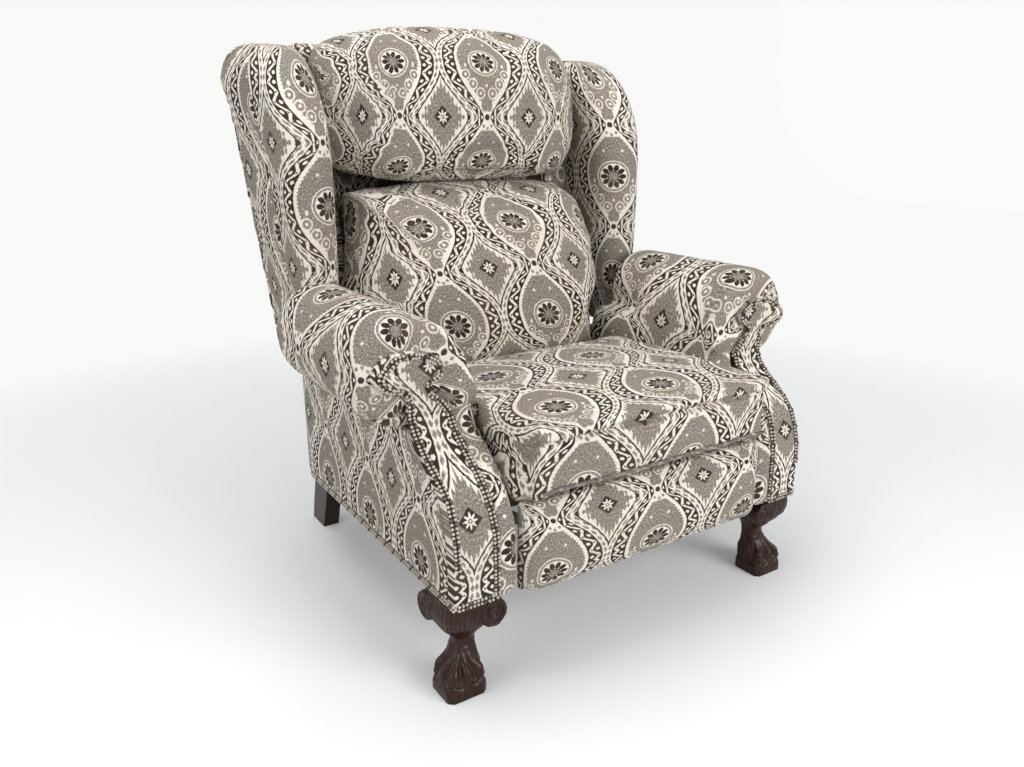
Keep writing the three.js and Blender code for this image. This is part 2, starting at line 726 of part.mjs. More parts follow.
function buildBaseFrame() {
  const railRear = baseRear - panelThickness - fit * 2;
  const railBottom = sideRailTop - sideRailHeight;
  const railFrontEnd = armFront + sideRailSetback;
  const sideRail = box(sideRailInner, sideRailOuter, railFrontEnd, railRear, railBottom, sideRailTop);
  addPair("side_rail", sideRail, "hardwood");
  const postInner = sideRailOuter + fit;
  const postTop = armRailBottom - fit;
  const postFront = armFront + facingThickness + padThickness / 2;
  const elbowShare = 0.6;
  const leanShare = 0.72;
  const elbow = mix(hemHeight, postTop, elbowShare);
  const topFront = postFront + armSetback * leanShare;
  const frontPost = [
    [postFront, hemTop],
    [postFront + postDepth, hemTop],
    [postFront + postDepth, elbow],
    [topFront + postDepth, postTop],
    [topFront, postTop],
    [postFront + coverGap, elbow],
  ];
  addPair("front_post", plateX(frontPost, postInner, frameOuter), "hardwood");
  const rearPost = box(postInner, frameOuter, rollRear, rollRear + postDepth, hemTop, postTop);
  addPair("rear_post", rearPost, "hardwood");
  const railFront = armFrontAt(armRailTop) + facingThickness + padThickness;
  const railInner = seatHalfWidth + padThickness + fit;
  const armRail = box(railInner, frameOuter, railFront, rollRear + postDepth, armRailBottom, armRailTop);
  addPair("arm_rail", armRail, "hardwood");
  const crossRear = railRear - crossRailWidth / 3;
  const crossTop = railBottom + crossRailHeight;
  const crossFront = crossRear - crossRailWidth;
  const crossRail = box(-seatHalfWidth, seatHalfWidth, crossFront, crossRear, railBottom, crossTop);
  addPiece("cross_rail", crossRail, "hardwood");
  const rearHalf = baseRearHalfWidth - panelThickness - fit;
  const rearPanel = box(-rearHalf, rearHalf, baseRear - panelThickness, baseRear, hemTop, baseRearTop);
  addPiece("base_rear_panel", rearPanel, "fabric");
}

function buildLegs() {
  addPair("front_leg", frontLeg(), "walnut");
  addPair("rear_leg", rearLeg(), "walnut");
}

// Side-view directions and the pivots of the footrest linkage
const halfTurn = 180;
const heading = (degrees, length) => [
  length * Math.sin(degToRad(degrees)),
  length * Math.cos(degToRad(degrees)),
];
const shifted = ([y, z], [dy, dz]) => [y + dy, z + dz];
const pivotFront = [seatFrameFront + linkPivotInset, trackHeight + linkPivotRise];
const pivotRear = shifted(pivotFront, [rearPivotBack, -rearPivotDrop]);
const jointLong = shifted(pivotFront, heading(frontLinkAngle, frontLink));
const jointTip = shifted(jointLong, heading(frontLinkAngle - frontLinkArmBend, frontLinkArm));
const jointBracket = shifted(jointLong, heading(longLinkAngle, longLink));
const jointRear = shifted(jointLong, heading(longLinkAngle + halfTurn, longLinkTail));
const longLinkEnd = shifted(jointRear, heading(longLinkAngle + halfTurn, openPinSlot));
const jointBracketTip = shifted(jointBracket, heading(bracketAngle, bracketSpan));

// Planes of the linkage, counted inwards from the seat plate
const seatPlateInner = seatHalfWidth - trackWidth - steel * 2;
const planeOuter = (number) => seatPlateInner - fit - (steel + fit) * number;
const planeInner = (number) => planeOuter(number) - steel;

/** Outlines of the flat bars with round ends that run through a row of side-view points. */
function barOutlines(points, halfWidth) {
  const pieces = [];
  for (let i = 0; i + 1 < points.length; i++) {
    const [[y0, z0], [y1, z1]] = [points[i], points[i + 1]];
    const length = Math.hypot(y1 - y0, z1 - z0);
    const [dy, dz] = [(y1 - y0) / length, (z1 - z0) / length];
    const angle = Math.atan2(dz, dy);
    const shape = new THREE.Shape();
    shape.absarc(y1, z1, halfWidth, angle - Math.PI / 2, angle + Math.PI / 2, false);
    shape.absarc(y0, z0, halfWidth, angle + Math.PI / 2, angle + Math.PI * 1.5, false);
    pieces.push(shape);
  }
  return pieces;
}

/** The rectangle between the two round ends of a slot. */
function slotSides([y0, z0], [y1, z1], radius) {
  const reach = (radius * Math.cos(Math.PI / rodSides)) / Math.hypot(y1 - y0, z1 - z0);
  const [dy, dz] = [(z1 - z0) * reach, (y0 - y1) * reach];
  return [[y0 - dy, z0 - dz], [y1 - dy, z1 - dz], [y1 + dy, z1 + dz], [y0 + dy, z0 + dz]];
}

/** The bars of a link or bracket through its points, in one plane. */
function barsInPlane(points, plane) {
  const endSteps = 8;
  const [inner, outer] = [planeInner(plane), planeOuter(plane)];
  return barOutlines(points, linkHalfWidth).map((shape) => plateX(shape, inner, outer, endSteps));
}

/** A steel link in one plane: its bars, its holes, and headed rivets that reach past another plane. */
function link(points, plane, holes, rivets, farPlane) {
  const [inner, outer] = [planeInner(plane), planeOuter(plane)];
  const tools = holes.flatMap(([first, radius, last = first]) => [
    ...[first, last].map(([y, z]) => rodX(y, z, radius, inner - overrun, outer + overrun)),
    ...(last === first ? [] : [plateX(slotSides(first, last, radius), inner - overrun, outer + overrun)]),
  ]);
  let body = cutAway(joined(...barsInPlane(points, plane)), ...tools);
  for (const [y, z] of rivets) {
    const reach = planeInner(farPlane) - fit;
    const shank = rodX(y, z, pinRadius, reach, inner + steel / 2);
    const head = rodX(y, z, pinRadius + pinPlay + steel, reach - rivetHead, reach);
    body = joined(body, shank, head);
  }
  return body;
}

const holeFor = (radius, play) => (radius + play) / Math.cos(Math.PI / rodSides);

function buildLinkage() {
  const [rearPlane, frontPlane, longPlane] = [0, 1, 2];
  const snug = holeFor(pinRadius, pinPlay);
  const loose = holeFor(pinRadius, openPinPlay);
  const rearLink = link([pivotRear, jointRear], rearPlane, [[pivotRear, snug]], [jointRear], longPlane);
  addPair("rear_link", rearLink, "steel");
  const frontJoints = [pivotFront, jointLong, jointTip];
  const frontRivets = [jointLong, jointTip];
  addPair("front_link", link(frontJoints, frontPlane, [[pivotFront, snug]], frontRivets, longPlane), "steel");
  const longHoles = [[jointRear, loose, longLinkEnd], [jointLong, snug], [jointBracket, snug]];
  const longJoints = [longLinkEnd, jointLong, jointBracket];
  addPair("long_link", link(longJoints, longPlane, longHoles, [], longPlane), "steel");
  const tipHoles = [[jointTip, snug], [jointBracketTip, loose]];
  addPair("tip_link", link([jointTip, jointBracketTip], longPlane, tipHoles, [], longPlane), "steel");
  const tubeY = mix(jointLong[0], jointBracket[0], torqueTubePlaceShare);
  const tubeZ = mix(jointLong[1], jointBracket[1], torqueTubePlaceShare);
  const squareTube = (reach, half) => (
    box(-reach, reach, tubeY - half, tubeY + half, tubeZ - half, tubeZ + half)
  );
  const half = torqueTube / 2;
  const tube = squareTube(planeInner(longPlane) - fit, half);
  addPiece("torque_tube", cutAway(tube, squareTube(seatHalfWidth, half - steel / 2)), "steel");
}

const boardRear = Math.min(jointBracket[0], jointBracketTip[0]) - linkHalfWidth - steel - fit * 2;
const boardFront = boardRear - footrestBoard;

/** The angle bracket of the footrest: a web in the innermost plane, a flange on the board and two pins. */
function footrestBracket() {
  const plane = 3;
  const [inner, outer] = [planeInner(plane), planeOuter(plane)];
  const low = jointBracket[1] - bracketFootDrop;
  const high = jointBracketTip[1] + bracketHeadRise;
  const face = boardRear + fit;
  const webOutline = [[face, low], [jointBracket[0], low], [jointBracketTip[0], high], [face, high]];
  const web = plateX(webOutline, inner, outer);
  const flange = box(inner - bracketFlange, inner + steel / 2, face, face + steel, low, high);
  const pins = [jointBracket, jointBracketTip].map(([y, z]) => (
    rodX(y, z, pinRadius, inner + steel / 2, planeOuter(plane - 1))
  ));
  return joined(...barsInPlane([jointBracket, jointBracketTip], plane), web, flange, ...pins);
}

function buildFootrest() {
  const half = footrestHalfWidth;
  addPair("footrest_bracket", footrestBracket(), "steel");
  const board = box(-half, half, boardFront, boardRear, footrestBottom, footrestTop);
  addPiece("footrest_board", board, "hardwood");
  addPiece("footrest_pad", footrestPadShape(), "fabric");
}

/** A flat-backed pad with rounded rims and a crowned face, rings stacked toward the front. */
function footrestPadShape() {
  const rear = boardFront - fit;
  const centreZ = (footrestTop + footrestBottom) / 2;
  const halfHeight = (footrestTop - footrestBottom) / 2;
  const padShares = [
    [0.03, 0], [0, 0.13], [0, 0.33], [0.05, 0.43], [0.16, 0.59],
    [0.32, 0.76], [0.52, 0.89], [0.74, 0.97], [0.92, 1],
  ];
  const rings = padShares.map(([inset, depth]) => {
    const cut = halfHeight * inset;
    const radius = mix(halfHeight / 4, 0, inset) + fit;
    return roundedRectangle(footrestHalfWidth - cut, halfHeight - cut, radius, 8, 2, 3)
      .map(([x, z]) => point(x, rear - (footrestPad + footrestCrown) * depth, centreZ + z));
  });
  return loft(rings);
}

/** Points round a rectangle with rounded corners: as many on each side and corner at every size. */
function roundedRectangle(halfWidth, halfHeight, radius, sideSteps, endSteps, cornerSteps) {
  const corners = [[1, 1, 0], [-1, 1, 1], [-1, -1, 2], [1, -1, 3]];
  const outline = [];
  corners.forEach(([sx, sy, quarter], k) => {
    const [cx, cy] = [sx * (halfWidth - radius), sy * (halfHeight - radius)];
    for (let i = 0; i <= cornerSteps; i++) {
      const t = (quarter + i / cornerSteps) * (Math.PI / 2);
      outline.push([cx + radius * Math.cos(t), cy + radius * Math.sin(t)]);
    }
    const [nx, ny] = corners[(k + 1) % 4];
    const last = outline[outline.length - 1];
    const turn = ((quarter + 1) * Math.PI) / 2;
    const next = [
      nx * (halfWidth - radius) + radius * Math.cos(turn),
      ny * (halfHeight - radius) + radius * Math.sin(turn),
    ];
    const steps = k % 2 === 0 ? sideSteps : endSteps;
    for (let i = 1; i < steps; i++) {
      outline.push([mix(last[0], next[0], i / steps), mix(last[1], next[1], i / steps)]);
    }
  });
  return outline;
}

/** The base plate: it carries the glide track and the stud on which the back turns. */
function basePlate() {
  const outer = seatHalfWidth - fit;
  const inner = outer - steel;
  const low = trackHeight - basePlateDrop;
  const ear = reclinePivotZ + hingeBoss;
  const outline = [
    [trackFront, low],
    [basePlateRear, low],
    [basePlateRear, ear],
    [reclinePivotY - hingeBoss * 2, ear],
    [trackRear, trackHeight + steel],
    [trackFront, trackHeight + steel],
  ];
  const trackInner = seatHalfWidth - trackWidth;
  const track = box(trackInner, outer - steel / 2, trackFront, trackRear, trackHeight - steel, trackHeight);
  const studEnd = inner - steel - fit * 2;
  const stud = rodX(reclinePivotY, reclinePivotZ, pivotPinRadius, studEnd, outer - steel / 2, pivotSides);
  const cap = rodX(reclinePivotY, reclinePivotZ, pivotCapRadius, studEnd - rivetHead, studEnd, pivotSides);
  return joined(plateX(outline, inner, outer), track, stud, cap);
}

/** The seat plate: it runs on the glide track and carries the two pins that the footrest links hang on. */
function seatPlate() {
  const outer = seatPlateInner + steel;
  const low = trackHeight + fit;
  const high = seatDeck - frontRailHeight;
  const web = box(seatPlateInner, outer, trackFront, seatPlateRear, low, high);
  const runnerInner = seatPlateInner + steel / 2;
  const runner = box(runnerInner, outer + seatRailWidth, trackFront, seatPlateRear, low, low + steel);
  const pins = [pivotRear, pivotFront].map(([y, z], plane) => (
    rodX(y, z, pinRadius, planeInner(plane), runnerInner)
  ));
  return joined(web, runner, ...pins);
}

function buildMechanismPlates() {
  addPair("base_plate", basePlate(), "steel");
  addPair("seat_plate", seatPlate(), "steel");
}

function buildSeatFrame() {
  const inner = seatPlateInner + steel + fit;
  const outer = inner + seatRailWidth;
  const railBottom = trackHeight + fit * 2 + steel;
  const sideRail = box(inner, outer, seatFrameFront, seatFrameRear, railBottom, seatDeck);
  addPair("seat_side_rail", sideRail, "hardwood");
  const crossHalf = inner - fit;
  const acrossRail = (y) => (
    box(-crossHalf, crossHalf, y, y + seatRailWidth, seatDeck - frontRailHeight, seatDeck)
  );
  addPiece("seat_front_rail", acrossRail(seatFrameFront), "hardwood");
  addPiece("seat_rear_rail", acrossRail(seatFrameRear - seatRailWidth), "hardwood");
  const start = seatFrameFront + seatRailWidth + fit + springWire;
  const end = seatFrameRear - seatRailWidth - fit - springWire;
  for (let i = 0; i < springCount; i++) {
    const x = (i - (springCount - 1) / 2) * springSpacing;
    addPiece("spring_" + (i + 1), sinuousSpring(x, start, end), "steel");
  }
}

/** One zigzag spring from rail to rail, arched upward, of one unbroken round wire. */
function sinuousSpring(x, start, end) {
  const base = seatDeck - frontRailHeight + springWire * 2;
  const stepsPerLoop = 5;
  const steps = springLoops * stepsPerLoop;
  const points = [];
  for (let i = 0; i <= steps; i++) {
    const share = i / steps;
    const swing = Math.sin(share * springLoops * Math.PI);
    const height = base + springArch * Math.sin(Math.PI * share);
    points.push(point(x + springLoop * swing, mix(start, end, share), height));
  }
  const wire = new THREE.Shape().absarc(0, 0, springWire, 0, Math.PI * 2, false);
  const path = new THREE.CatmullRomCurve3(points);
  return new THREE.ExtrudeGeometry(wire, { steps, extrudePath: path, curveSegments: 3 });
}

// Rings of the seat cushion: [inset, height share, bulge share] in its band, then over its crown
const seatBandShares = [[1, 0.08, 0.5], [1, 0.3, 0.9], [1, 0.62, 1], [0, 0.94, 0.8]];
const seatCrownShares = [
  [0.015, 0.16, 0.6], [0.08, 0.42, 0.35], [0.2, 0.66, 0.12], [0.36, 0.83, 0], [0.56, 0.94, 0], [0.78, 1, 0],
];

/** Seat cushion: a front lip below the deck line, banded sides drawn in, and a crowned top. */
function seatCushion() {
  const centreY = (seatCushionFront + seatCushionRear) / 2;
  const halfDepth = seatCushionDepth / 2;
  const lipRear = seatCushionFront + seatLipDepth;
  const lipSqueezeShare = 0.02;
  const leastRadius = seatCornerRadius * 0.4;
  const bulgePower = 4;
  const deck = seatDeck + fit;
  const ring = (inset, zAt, bulge) => {
    const halfX = cushionHalf - inset;
    const halfY = halfDepth - inset;
    const radius = Math.max(seatCornerRadius - inset, leastRadius);
    return roundedRectangle(halfX, halfY, radius, 8, 6, 4).map(([x, v]) => {
      const forward = Math.max(0, -v / halfY);
      const y = centreY + v - bulge * forward ** bulgePower * (1 - (x / cushionHalf) ** 2);
      return point(x, y, zAt(y));
    });
  };
  const lip = (inset, z) => ring(inset, () => z, 0).map((p) => point(
    p.x,
    p.y > lipRear ? lipRear + (p.y - lipRear) * lipSqueezeShare : p.y,
    z,
  ));
  const seamAt = (y) => mix(seatRearTop, seatBandTop, (seatCushionRear - y) / seatCushionDepth);
  const band = seatBandShares.map(([inset, rise, bulge]) => (
    ring(coverGap * inset, (y) => mix(deck, seamAt(y), rise), seatFrontCrown * bulge)
  ));
  const crown = seatCrownShares.map(([inset, rise, bulge]) => (
    ring(halfDepth * inset, (y) => seamAt(y) + seatCrown * rise, seatFrontCrown * bulge)
  ));
  return loft([
    lip(coverGap * 4, seatCushionLip),
    lip(coverGap * 3, deck),
    ring(coverGap * 2, () => deck, 0),
    ...band,
    ...crown,
  ]);
}

// Side view of the back: its rear face, the posts' rear face and the posts' front face against height
const backRearAt = (z) => backRearFoot + (z - wingBottom) * Math.tan(degToRad(backRake));
const postRearAt = (z) => backRearAt(z) - backPanelThickness - fit;
const postFrontAt = (z) => postRearAt(z) - backPostDepth;

/** A raked bar in side view between two heights, reaching forward from the posts' rear face. */
function rakedOutline(z0, z1, depth) {
  return [
    [postRearAt(z0) - depth, z0],
    [postRearAt(z0), z0],
    [postRearAt(z1), z1],
    [postRearAt(z1) - depth, z1],
  ];
}

const wingFrontShares = [
  [0.28, 0], [0.46, 0.01], [0.63, 0.04], [0.71, 0.08], [0.79, 0.2],
  [0.86, 0.36], [0.92, 0.56], [0.97, 0.78], [1, 1],
];
const wingLevelShares = [0, 0.14, 0.28, 0.46, 0.63, 0.71, 0.79, 0.86, 0.91];
const wingRoundShares = [[0.35, 0.03], [0.62, 0.13], [0.84, 0.34], [0.95, 0.6], [1, 0.88]];
const wingSwellShares = [[0.7, 0], [0.86, 0.6], [0.93, 1], [1, 1]];

/** A wing: an upholstered slab round the post, with a rounded front edge and top, flaring outward. */
function wing() {
  const postSide = backPostOuter + fit;
  const noseSteps = 5;
  const noseShare = 0.6;
  const swellShare = 0.7;
  const [rearInsetShare, sideInsetShare] = [0.35, 0.5];
  const liningTop = backPostTop + fit;
  const ringAt = (z, inset) => {
    const share = (z - wingBottom) / wingHeight;
    const armShare = Math.min(1, share / wingFrontShares[0][0]);
    const reach = wingTopReach * readShares(wingFrontShares, share);
    const front = backRearFoot - mix(wingFrontLow, wingFrontArm, armShare) + reach + inset;
    const rear = postRearAt(z) - inset * rearInsetShare;
    const drawIn = inset * sideInsetShare;
    const outward = armOuter + wingLining * swellShare * readShares(wingSwellShares, share) - drawIn;
    const inner = seatHalfWidth + mix(wingInnerLow, wingInnerHigh, share) + drawIn;
    const outFront = mix(wingOuterLow, wingOuterHigh, share) + outward;
    const outRear = mix(wingOuterLow, wingRearOuterHigh, share) + outward;
    const lining = postFrontAt(z) - fit;
    const roundPost = [
      [postSide, rear],
      [postSide, lining],
      [backPostInner, lining],
      [backPostInner, lining - wingLining],
      [inner, lining - wingLining - fit],
    ];
    const abovePost = roundPost.map(([, y], i) => [inner + (fit * (4 - i)) ** 2, y]);
    const pocket = z < liningTop ? roundPost : abovePost;
    const ring = [point(outRear, rear, z), ...pocket.map(([x, y]) => point(x, y, z))];
    const peak = mix(inner, outFront, noseShare);
    const noseInner = Math.min(wingNoseInner, (lining - wingLining - front) * noseShare);
    const noseOuter = Math.min(wingNoseOuter, noseInner);
    for (let i = 0; i <= noseSteps; i++) {
      const t = (i / noseSteps) * (Math.PI / 2);
      ring.push(point(peak - (peak - inner) * Math.cos(t), front + noseInner * (1 - Math.sin(t)), z));
    }
    for (let i = noseSteps - 1; i >= 0; i--) {
      const t = (i / noseSteps) * (Math.PI / 2);
      ring.push(point(peak + (outFront - peak) * Math.cos(t), front + noseOuter * (1 - Math.sin(t)), z));
    }
    return ring;
  };
  const levels = wingLevelShares.map((share) => wingBottom + wingHeight * share);
  const rings = [...levels, liningTop - fit, liningTop].sort((a, b) => a - b).map((z) => ringAt(z, 0));
  for (const [up, inset] of wingRoundShares) {
    rings.push(ringAt(mix(wingTop - wingTopRound, wingTop, up), wingTopRound * inset));
  }
  return loft(rings);
}

function buildBackFrame() {
  const post = plateX(rakedOutline(wingBottom, backPostTop, backPostDepth), backPostInner, backPostOuter);
  addPair("back_post", post, "hardwood");
  const lowHalf = backPostInner - steel - fit * 2;
  const lowOutline = rakedOutline(wingBottom, wingBottom + backRailHeight, backRailDepth);
  const lowRail = plateX(lowOutline, -lowHalf, lowHalf);
  addPiece("back_bottom_rail", lowRail, "hardwood");
  addPiece("back_top_rail", backTopRail(), "fabric");
  addPair("wing", wing(), "fabric");
  addPiece("outside_back", outsideBack(), "fabric");
  addPair("hinge_bracket", hingeBracket(), "steel");
}

/** The upholstered top rail: a tongue between the posts under a padded roll that runs from wing to wing. */
function backTopRail() {
  const low = backPostTop + fit;
  const high = low + backTopRise;
  const half = seatHalfWidth + wingInnerHigh - coverGap;
  const round = backTopRound;
  const front = (z) => postFrontAt(z) - wingLining;
  const section = new THREE.Shape();
  section.moveTo(front(low), low);
  section.lineTo(postRearAt(low), low);
  section.lineTo(postRearAt(high - round), high - round);
  section.quadraticCurveTo(postRearAt(high), high, postRearAt(high) - round, high);
  section.lineTo(front(high) + round, high - round / 5);
  section.quadraticCurveTo(front(high), high - round / 5, front(high - round), high - round);
  const roll = plateX(section, -half, half, 4);
  const tongueHalf = backPostInner - fit;
  const tongueOutline = rakedOutline(backPostTop - backRailHeight, low + fit, backRailDepth);
  const tongue = plateX(tongueOutline, -tongueHalf, tongueHalf);
  return joined(roll, tongue);
}

/** The outside back: a raked panel over the whole width, with rounded upper corners. */
function outsideBack() {
  const levelShares = [0, 0.25, 0.5, 0.75, 0.88, 0.95, 0.985];
  const narrowShares = [[0.88, 0], [0.95, 0.25], [0.985, 1]];
  const rings = levelShares.map((share) => {
    const z = wingBottom + wingHeight * share;
    const spread = mix(wingOuterLow, wingRearOuterHigh, share);
    const half = armOuter + spread - wingTopRound * readShares(narrowShares, share);
    const rear = backRearAt(z);
    const front = rear - backPanelThickness;
    return [point(-half, front, z), point(half, front, z), point(half, rear, z), point(-half, rear, z)];
  });
  return loft(rings);
}

/** The steel L that carries a back post on the recline pivot. */
function hingeBracket() {
  const outer = seatHalfWidth - steel - fit * 2;
  const inner = outer - steel;
  const legRear = reclinePivotY + coverGap;
  const legFront = legRear - bracketLegWidth;
  const footLow = wingBottom + coverGap;
  const footHigh = footLow + bracketFootHeight;
  const reach = postRearAt(footLow) - backPostDepth / 3;
  const boss = rodX(reclinePivotY, reclinePivotZ, hingeBoss, inner, outer, pivotSides);
  const leg = plateX([
    [legFront, reclinePivotZ],
    [legRear, reclinePivotZ],
    [legRear, footLow],
    [reach, footLow],
    [reach, footHigh],
    [legFront + bracketLegWidth / 2, footHigh],
    [legFront, footHigh - bracketLegWidth / 2],
  ], inner, outer);
  const boreRadius = holeFor(pivotPinRadius, pinPlay);
  const bore = rodX(reclinePivotY, reclinePivotZ, boreRadius, inner - steel, outer + steel, pivotSides);
  return cutAway(joined(boss, leg), bore);
}

/** A smooth closed outline through the right half's [x, z] points and their mirror images. */
function symmetricOutline(half, count) {
  const right = half.map(([x, z]) => point(x, 0, z));
  const left = half.map(([x, z]) => point(-x, 0, z)).reverse();
  const curve = new THREE.CatmullRomCurve3([...right, ...left], true, "centripetal");
  return curve.getSpacedPoints(count).slice(0, count);
}

/** A back cushion in rings from its rear to its face, each [width share, height share, depth share]. */
function backCushion(outline, middle, ringShares, rearAt, frontAt) {
  return loft(ringShares.map(([across, upright, depth]) => outline.map((p) => {
    const z = middle + (p.z - middle) * upright;
    return point(p.x * across, mix(rearAt(z), frontAt(z), depth), z);
  })));
}

// Outlines of the back cushions, [half width share, height share], and how far their faces fall back
const lumbarOutlineShares = [
  [0.3, 0], [0.6, 0], [0.83, 0.02], [0.86, 0.1], [0.86, 0.28], [0.92, 0.4], [0.98, 0.5],
  [1, 0.6], [0.99, 0.72], [0.92, 0.86], [0.82, 0.96], [0.62, 1], [0.25, 1],
];
const lumbarRingShares = [
  [0.95, 0.95, 0], [0.99, 0.985, 0.1], [1, 1, 0.25], [1, 1, 0.42], [0.95, 0.99, 0.6], [0.88, 0.975, 0.75],
  [0.79, 0.94, 0.87], [0.66, 0.86, 0.95], [0.45, 0.66, 0.99], [0.2, 0.3, 1],
];
const lumbarFaceShares = [
  [0, 0.35], [0.17, 0.17], [0.28, 0.03], [0.44, 0], [0.62, 0.12], [0.81, 0.35], [0.94, 0.68], [1, 1],
];
const headOutlineShares = [
  [0.25, 0], [0.55, 0], [0.86, 0.01], [0.97, 0.08], [1, 0.3],
  [1, 0.62], [0.985, 0.82], [0.9, 0.93], [0.6, 0.985], [0.25, 1],
];
const headRingShares = [
  [0.94, 0.9, 0], [0.99, 0.95, 0.08], [1, 0.975, 0.2], [0.94, 0.99, 0.34], [0.84, 1, 0.54],
  [0.74, 0.985, 0.76],
  [0.65, 0.955, 0.88], [0.5, 0.88, 0.96], [0.32, 0.66, 0.99], [0.12, 0.3, 1],
];
const headFaceShares = [[0, 0.05], [0.2, 0], [0.5, 0], [0.65, 0.08], [0.8, 0.28], [0.92, 0.6], [1, 1]];

function buildCushions() {
  addPiece("seat_cushion", seatCushion(), "fabric");
  const outlinePoints = 40;
  const outlineOf = (shares, halfWidth, low, high) => (
    symmetricOutline(shares.map(([x, z]) => [halfWidth * x, mix(low, high, z)]), outlinePoints)
  );
  const againstPosts = (z) => postFrontAt(z) - fit - wingLining - fit;
  const skirtTop = wingBottom + bracketFootHeight + coverGap * 2;
  const skirtRear = seatCushionRear + lumbarSkirtDepth;
  const lumbarRear = (z) => (z < skirtTop ? Math.min(skirtRear, againstPosts(z)) : againstPosts(z));
  const faceOf = (shares, front, fallBack, low, high) => (z) => (
    front + fallBack * readShares(shares, (z - low) / (high - low))
  );
  const lumbarHalf = seatHalfWidth + lumbarOverArm;
  const lumbarOutline = outlineOf(lumbarOutlineShares, lumbarHalf, lumbarBottom, lumbarTop);
  const lumbarFace = faceOf(lumbarFaceShares, lumbarFront, lumbarFallBack, lumbarBottom, lumbarTop);
  const lumbarMiddle = (lumbarBottom + lumbarTop) / 2;
  const lumbar = backCushion(lumbarOutline, lumbarMiddle, lumbarRingShares, lumbarRear, lumbarFace);
  addPiece("lumbar_cushion", lumbar, "fabric");
  const headOutline = outlineOf(headOutlineShares, seatHalfWidth + headOverArm, headBottom, headTop);
  const headFace = faceOf(headFaceShares, headFront, headFallBack, headBottom, headTop);
  const headMiddle = (headBottom + headTop) / 2;
  const head = backCushion(headOutline, headMiddle, headRingShares, againstPosts, headFace);
  addPiece("head_pillow", head, "fabric");
}

buildLegs();
buildBaseFrame();
buildArms();
buildMechanismPlates();
buildSeatFrame();
buildLinkage();
buildFootrest();
buildBackFrame();
buildCushions();

// The origin lies on the floor, in the middle of the chair's length
const bounds = new THREE.Box3().setFromObject(chair);
chair.position.y = -(bounds.min.y + bounds.max.y) / 2;

export default chair;
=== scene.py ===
"""The wingback recliner, dressed: printed covers, cushions, carved legs and bead braid.

Lengths are in metres. The chair faces -Y and its left side, as sat in, is +X.
"""

from __future__ import annotations

import logging
import math
from collections.abc import Sequence
from dataclasses import dataclass, field
from enum import Enum

import bmesh
import bpy
import numpy as np
from mathutils import Matrix, Vector, noise
from mathutils.bvhtree import BVHTree


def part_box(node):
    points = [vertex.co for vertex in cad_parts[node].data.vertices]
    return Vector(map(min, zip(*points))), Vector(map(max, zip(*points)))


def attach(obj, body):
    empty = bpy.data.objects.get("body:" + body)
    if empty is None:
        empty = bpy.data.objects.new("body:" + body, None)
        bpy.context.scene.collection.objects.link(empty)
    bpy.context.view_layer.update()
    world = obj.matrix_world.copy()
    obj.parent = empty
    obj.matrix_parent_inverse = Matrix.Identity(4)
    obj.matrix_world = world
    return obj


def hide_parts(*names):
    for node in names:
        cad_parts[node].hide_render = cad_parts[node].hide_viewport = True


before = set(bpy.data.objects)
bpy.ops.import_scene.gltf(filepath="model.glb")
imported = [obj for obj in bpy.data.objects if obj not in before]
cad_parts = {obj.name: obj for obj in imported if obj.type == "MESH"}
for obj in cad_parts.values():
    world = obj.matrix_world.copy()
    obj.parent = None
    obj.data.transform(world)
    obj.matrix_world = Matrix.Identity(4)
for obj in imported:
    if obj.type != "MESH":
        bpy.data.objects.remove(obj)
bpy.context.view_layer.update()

log = logging.getLogger("recliner")
Colour = tuple[float, float, float]
Place = tuple[float, float, float]
Pair = tuple[float, float]
# the map on each cover that says where on the cloth it was cut
CLOTH_MAP = "cloth"
# how soft a printed edge is, in repeats
SOFT_EDGE = 0.006


class Side(Enum):
    """The sitter's left or right, with its sign along x."""

    LEFT = 1
    RIGHT = -1

    @property
    def word(self) -> str:
        """The ending of a piece's name."""
        return self.name.lower()


# Materials


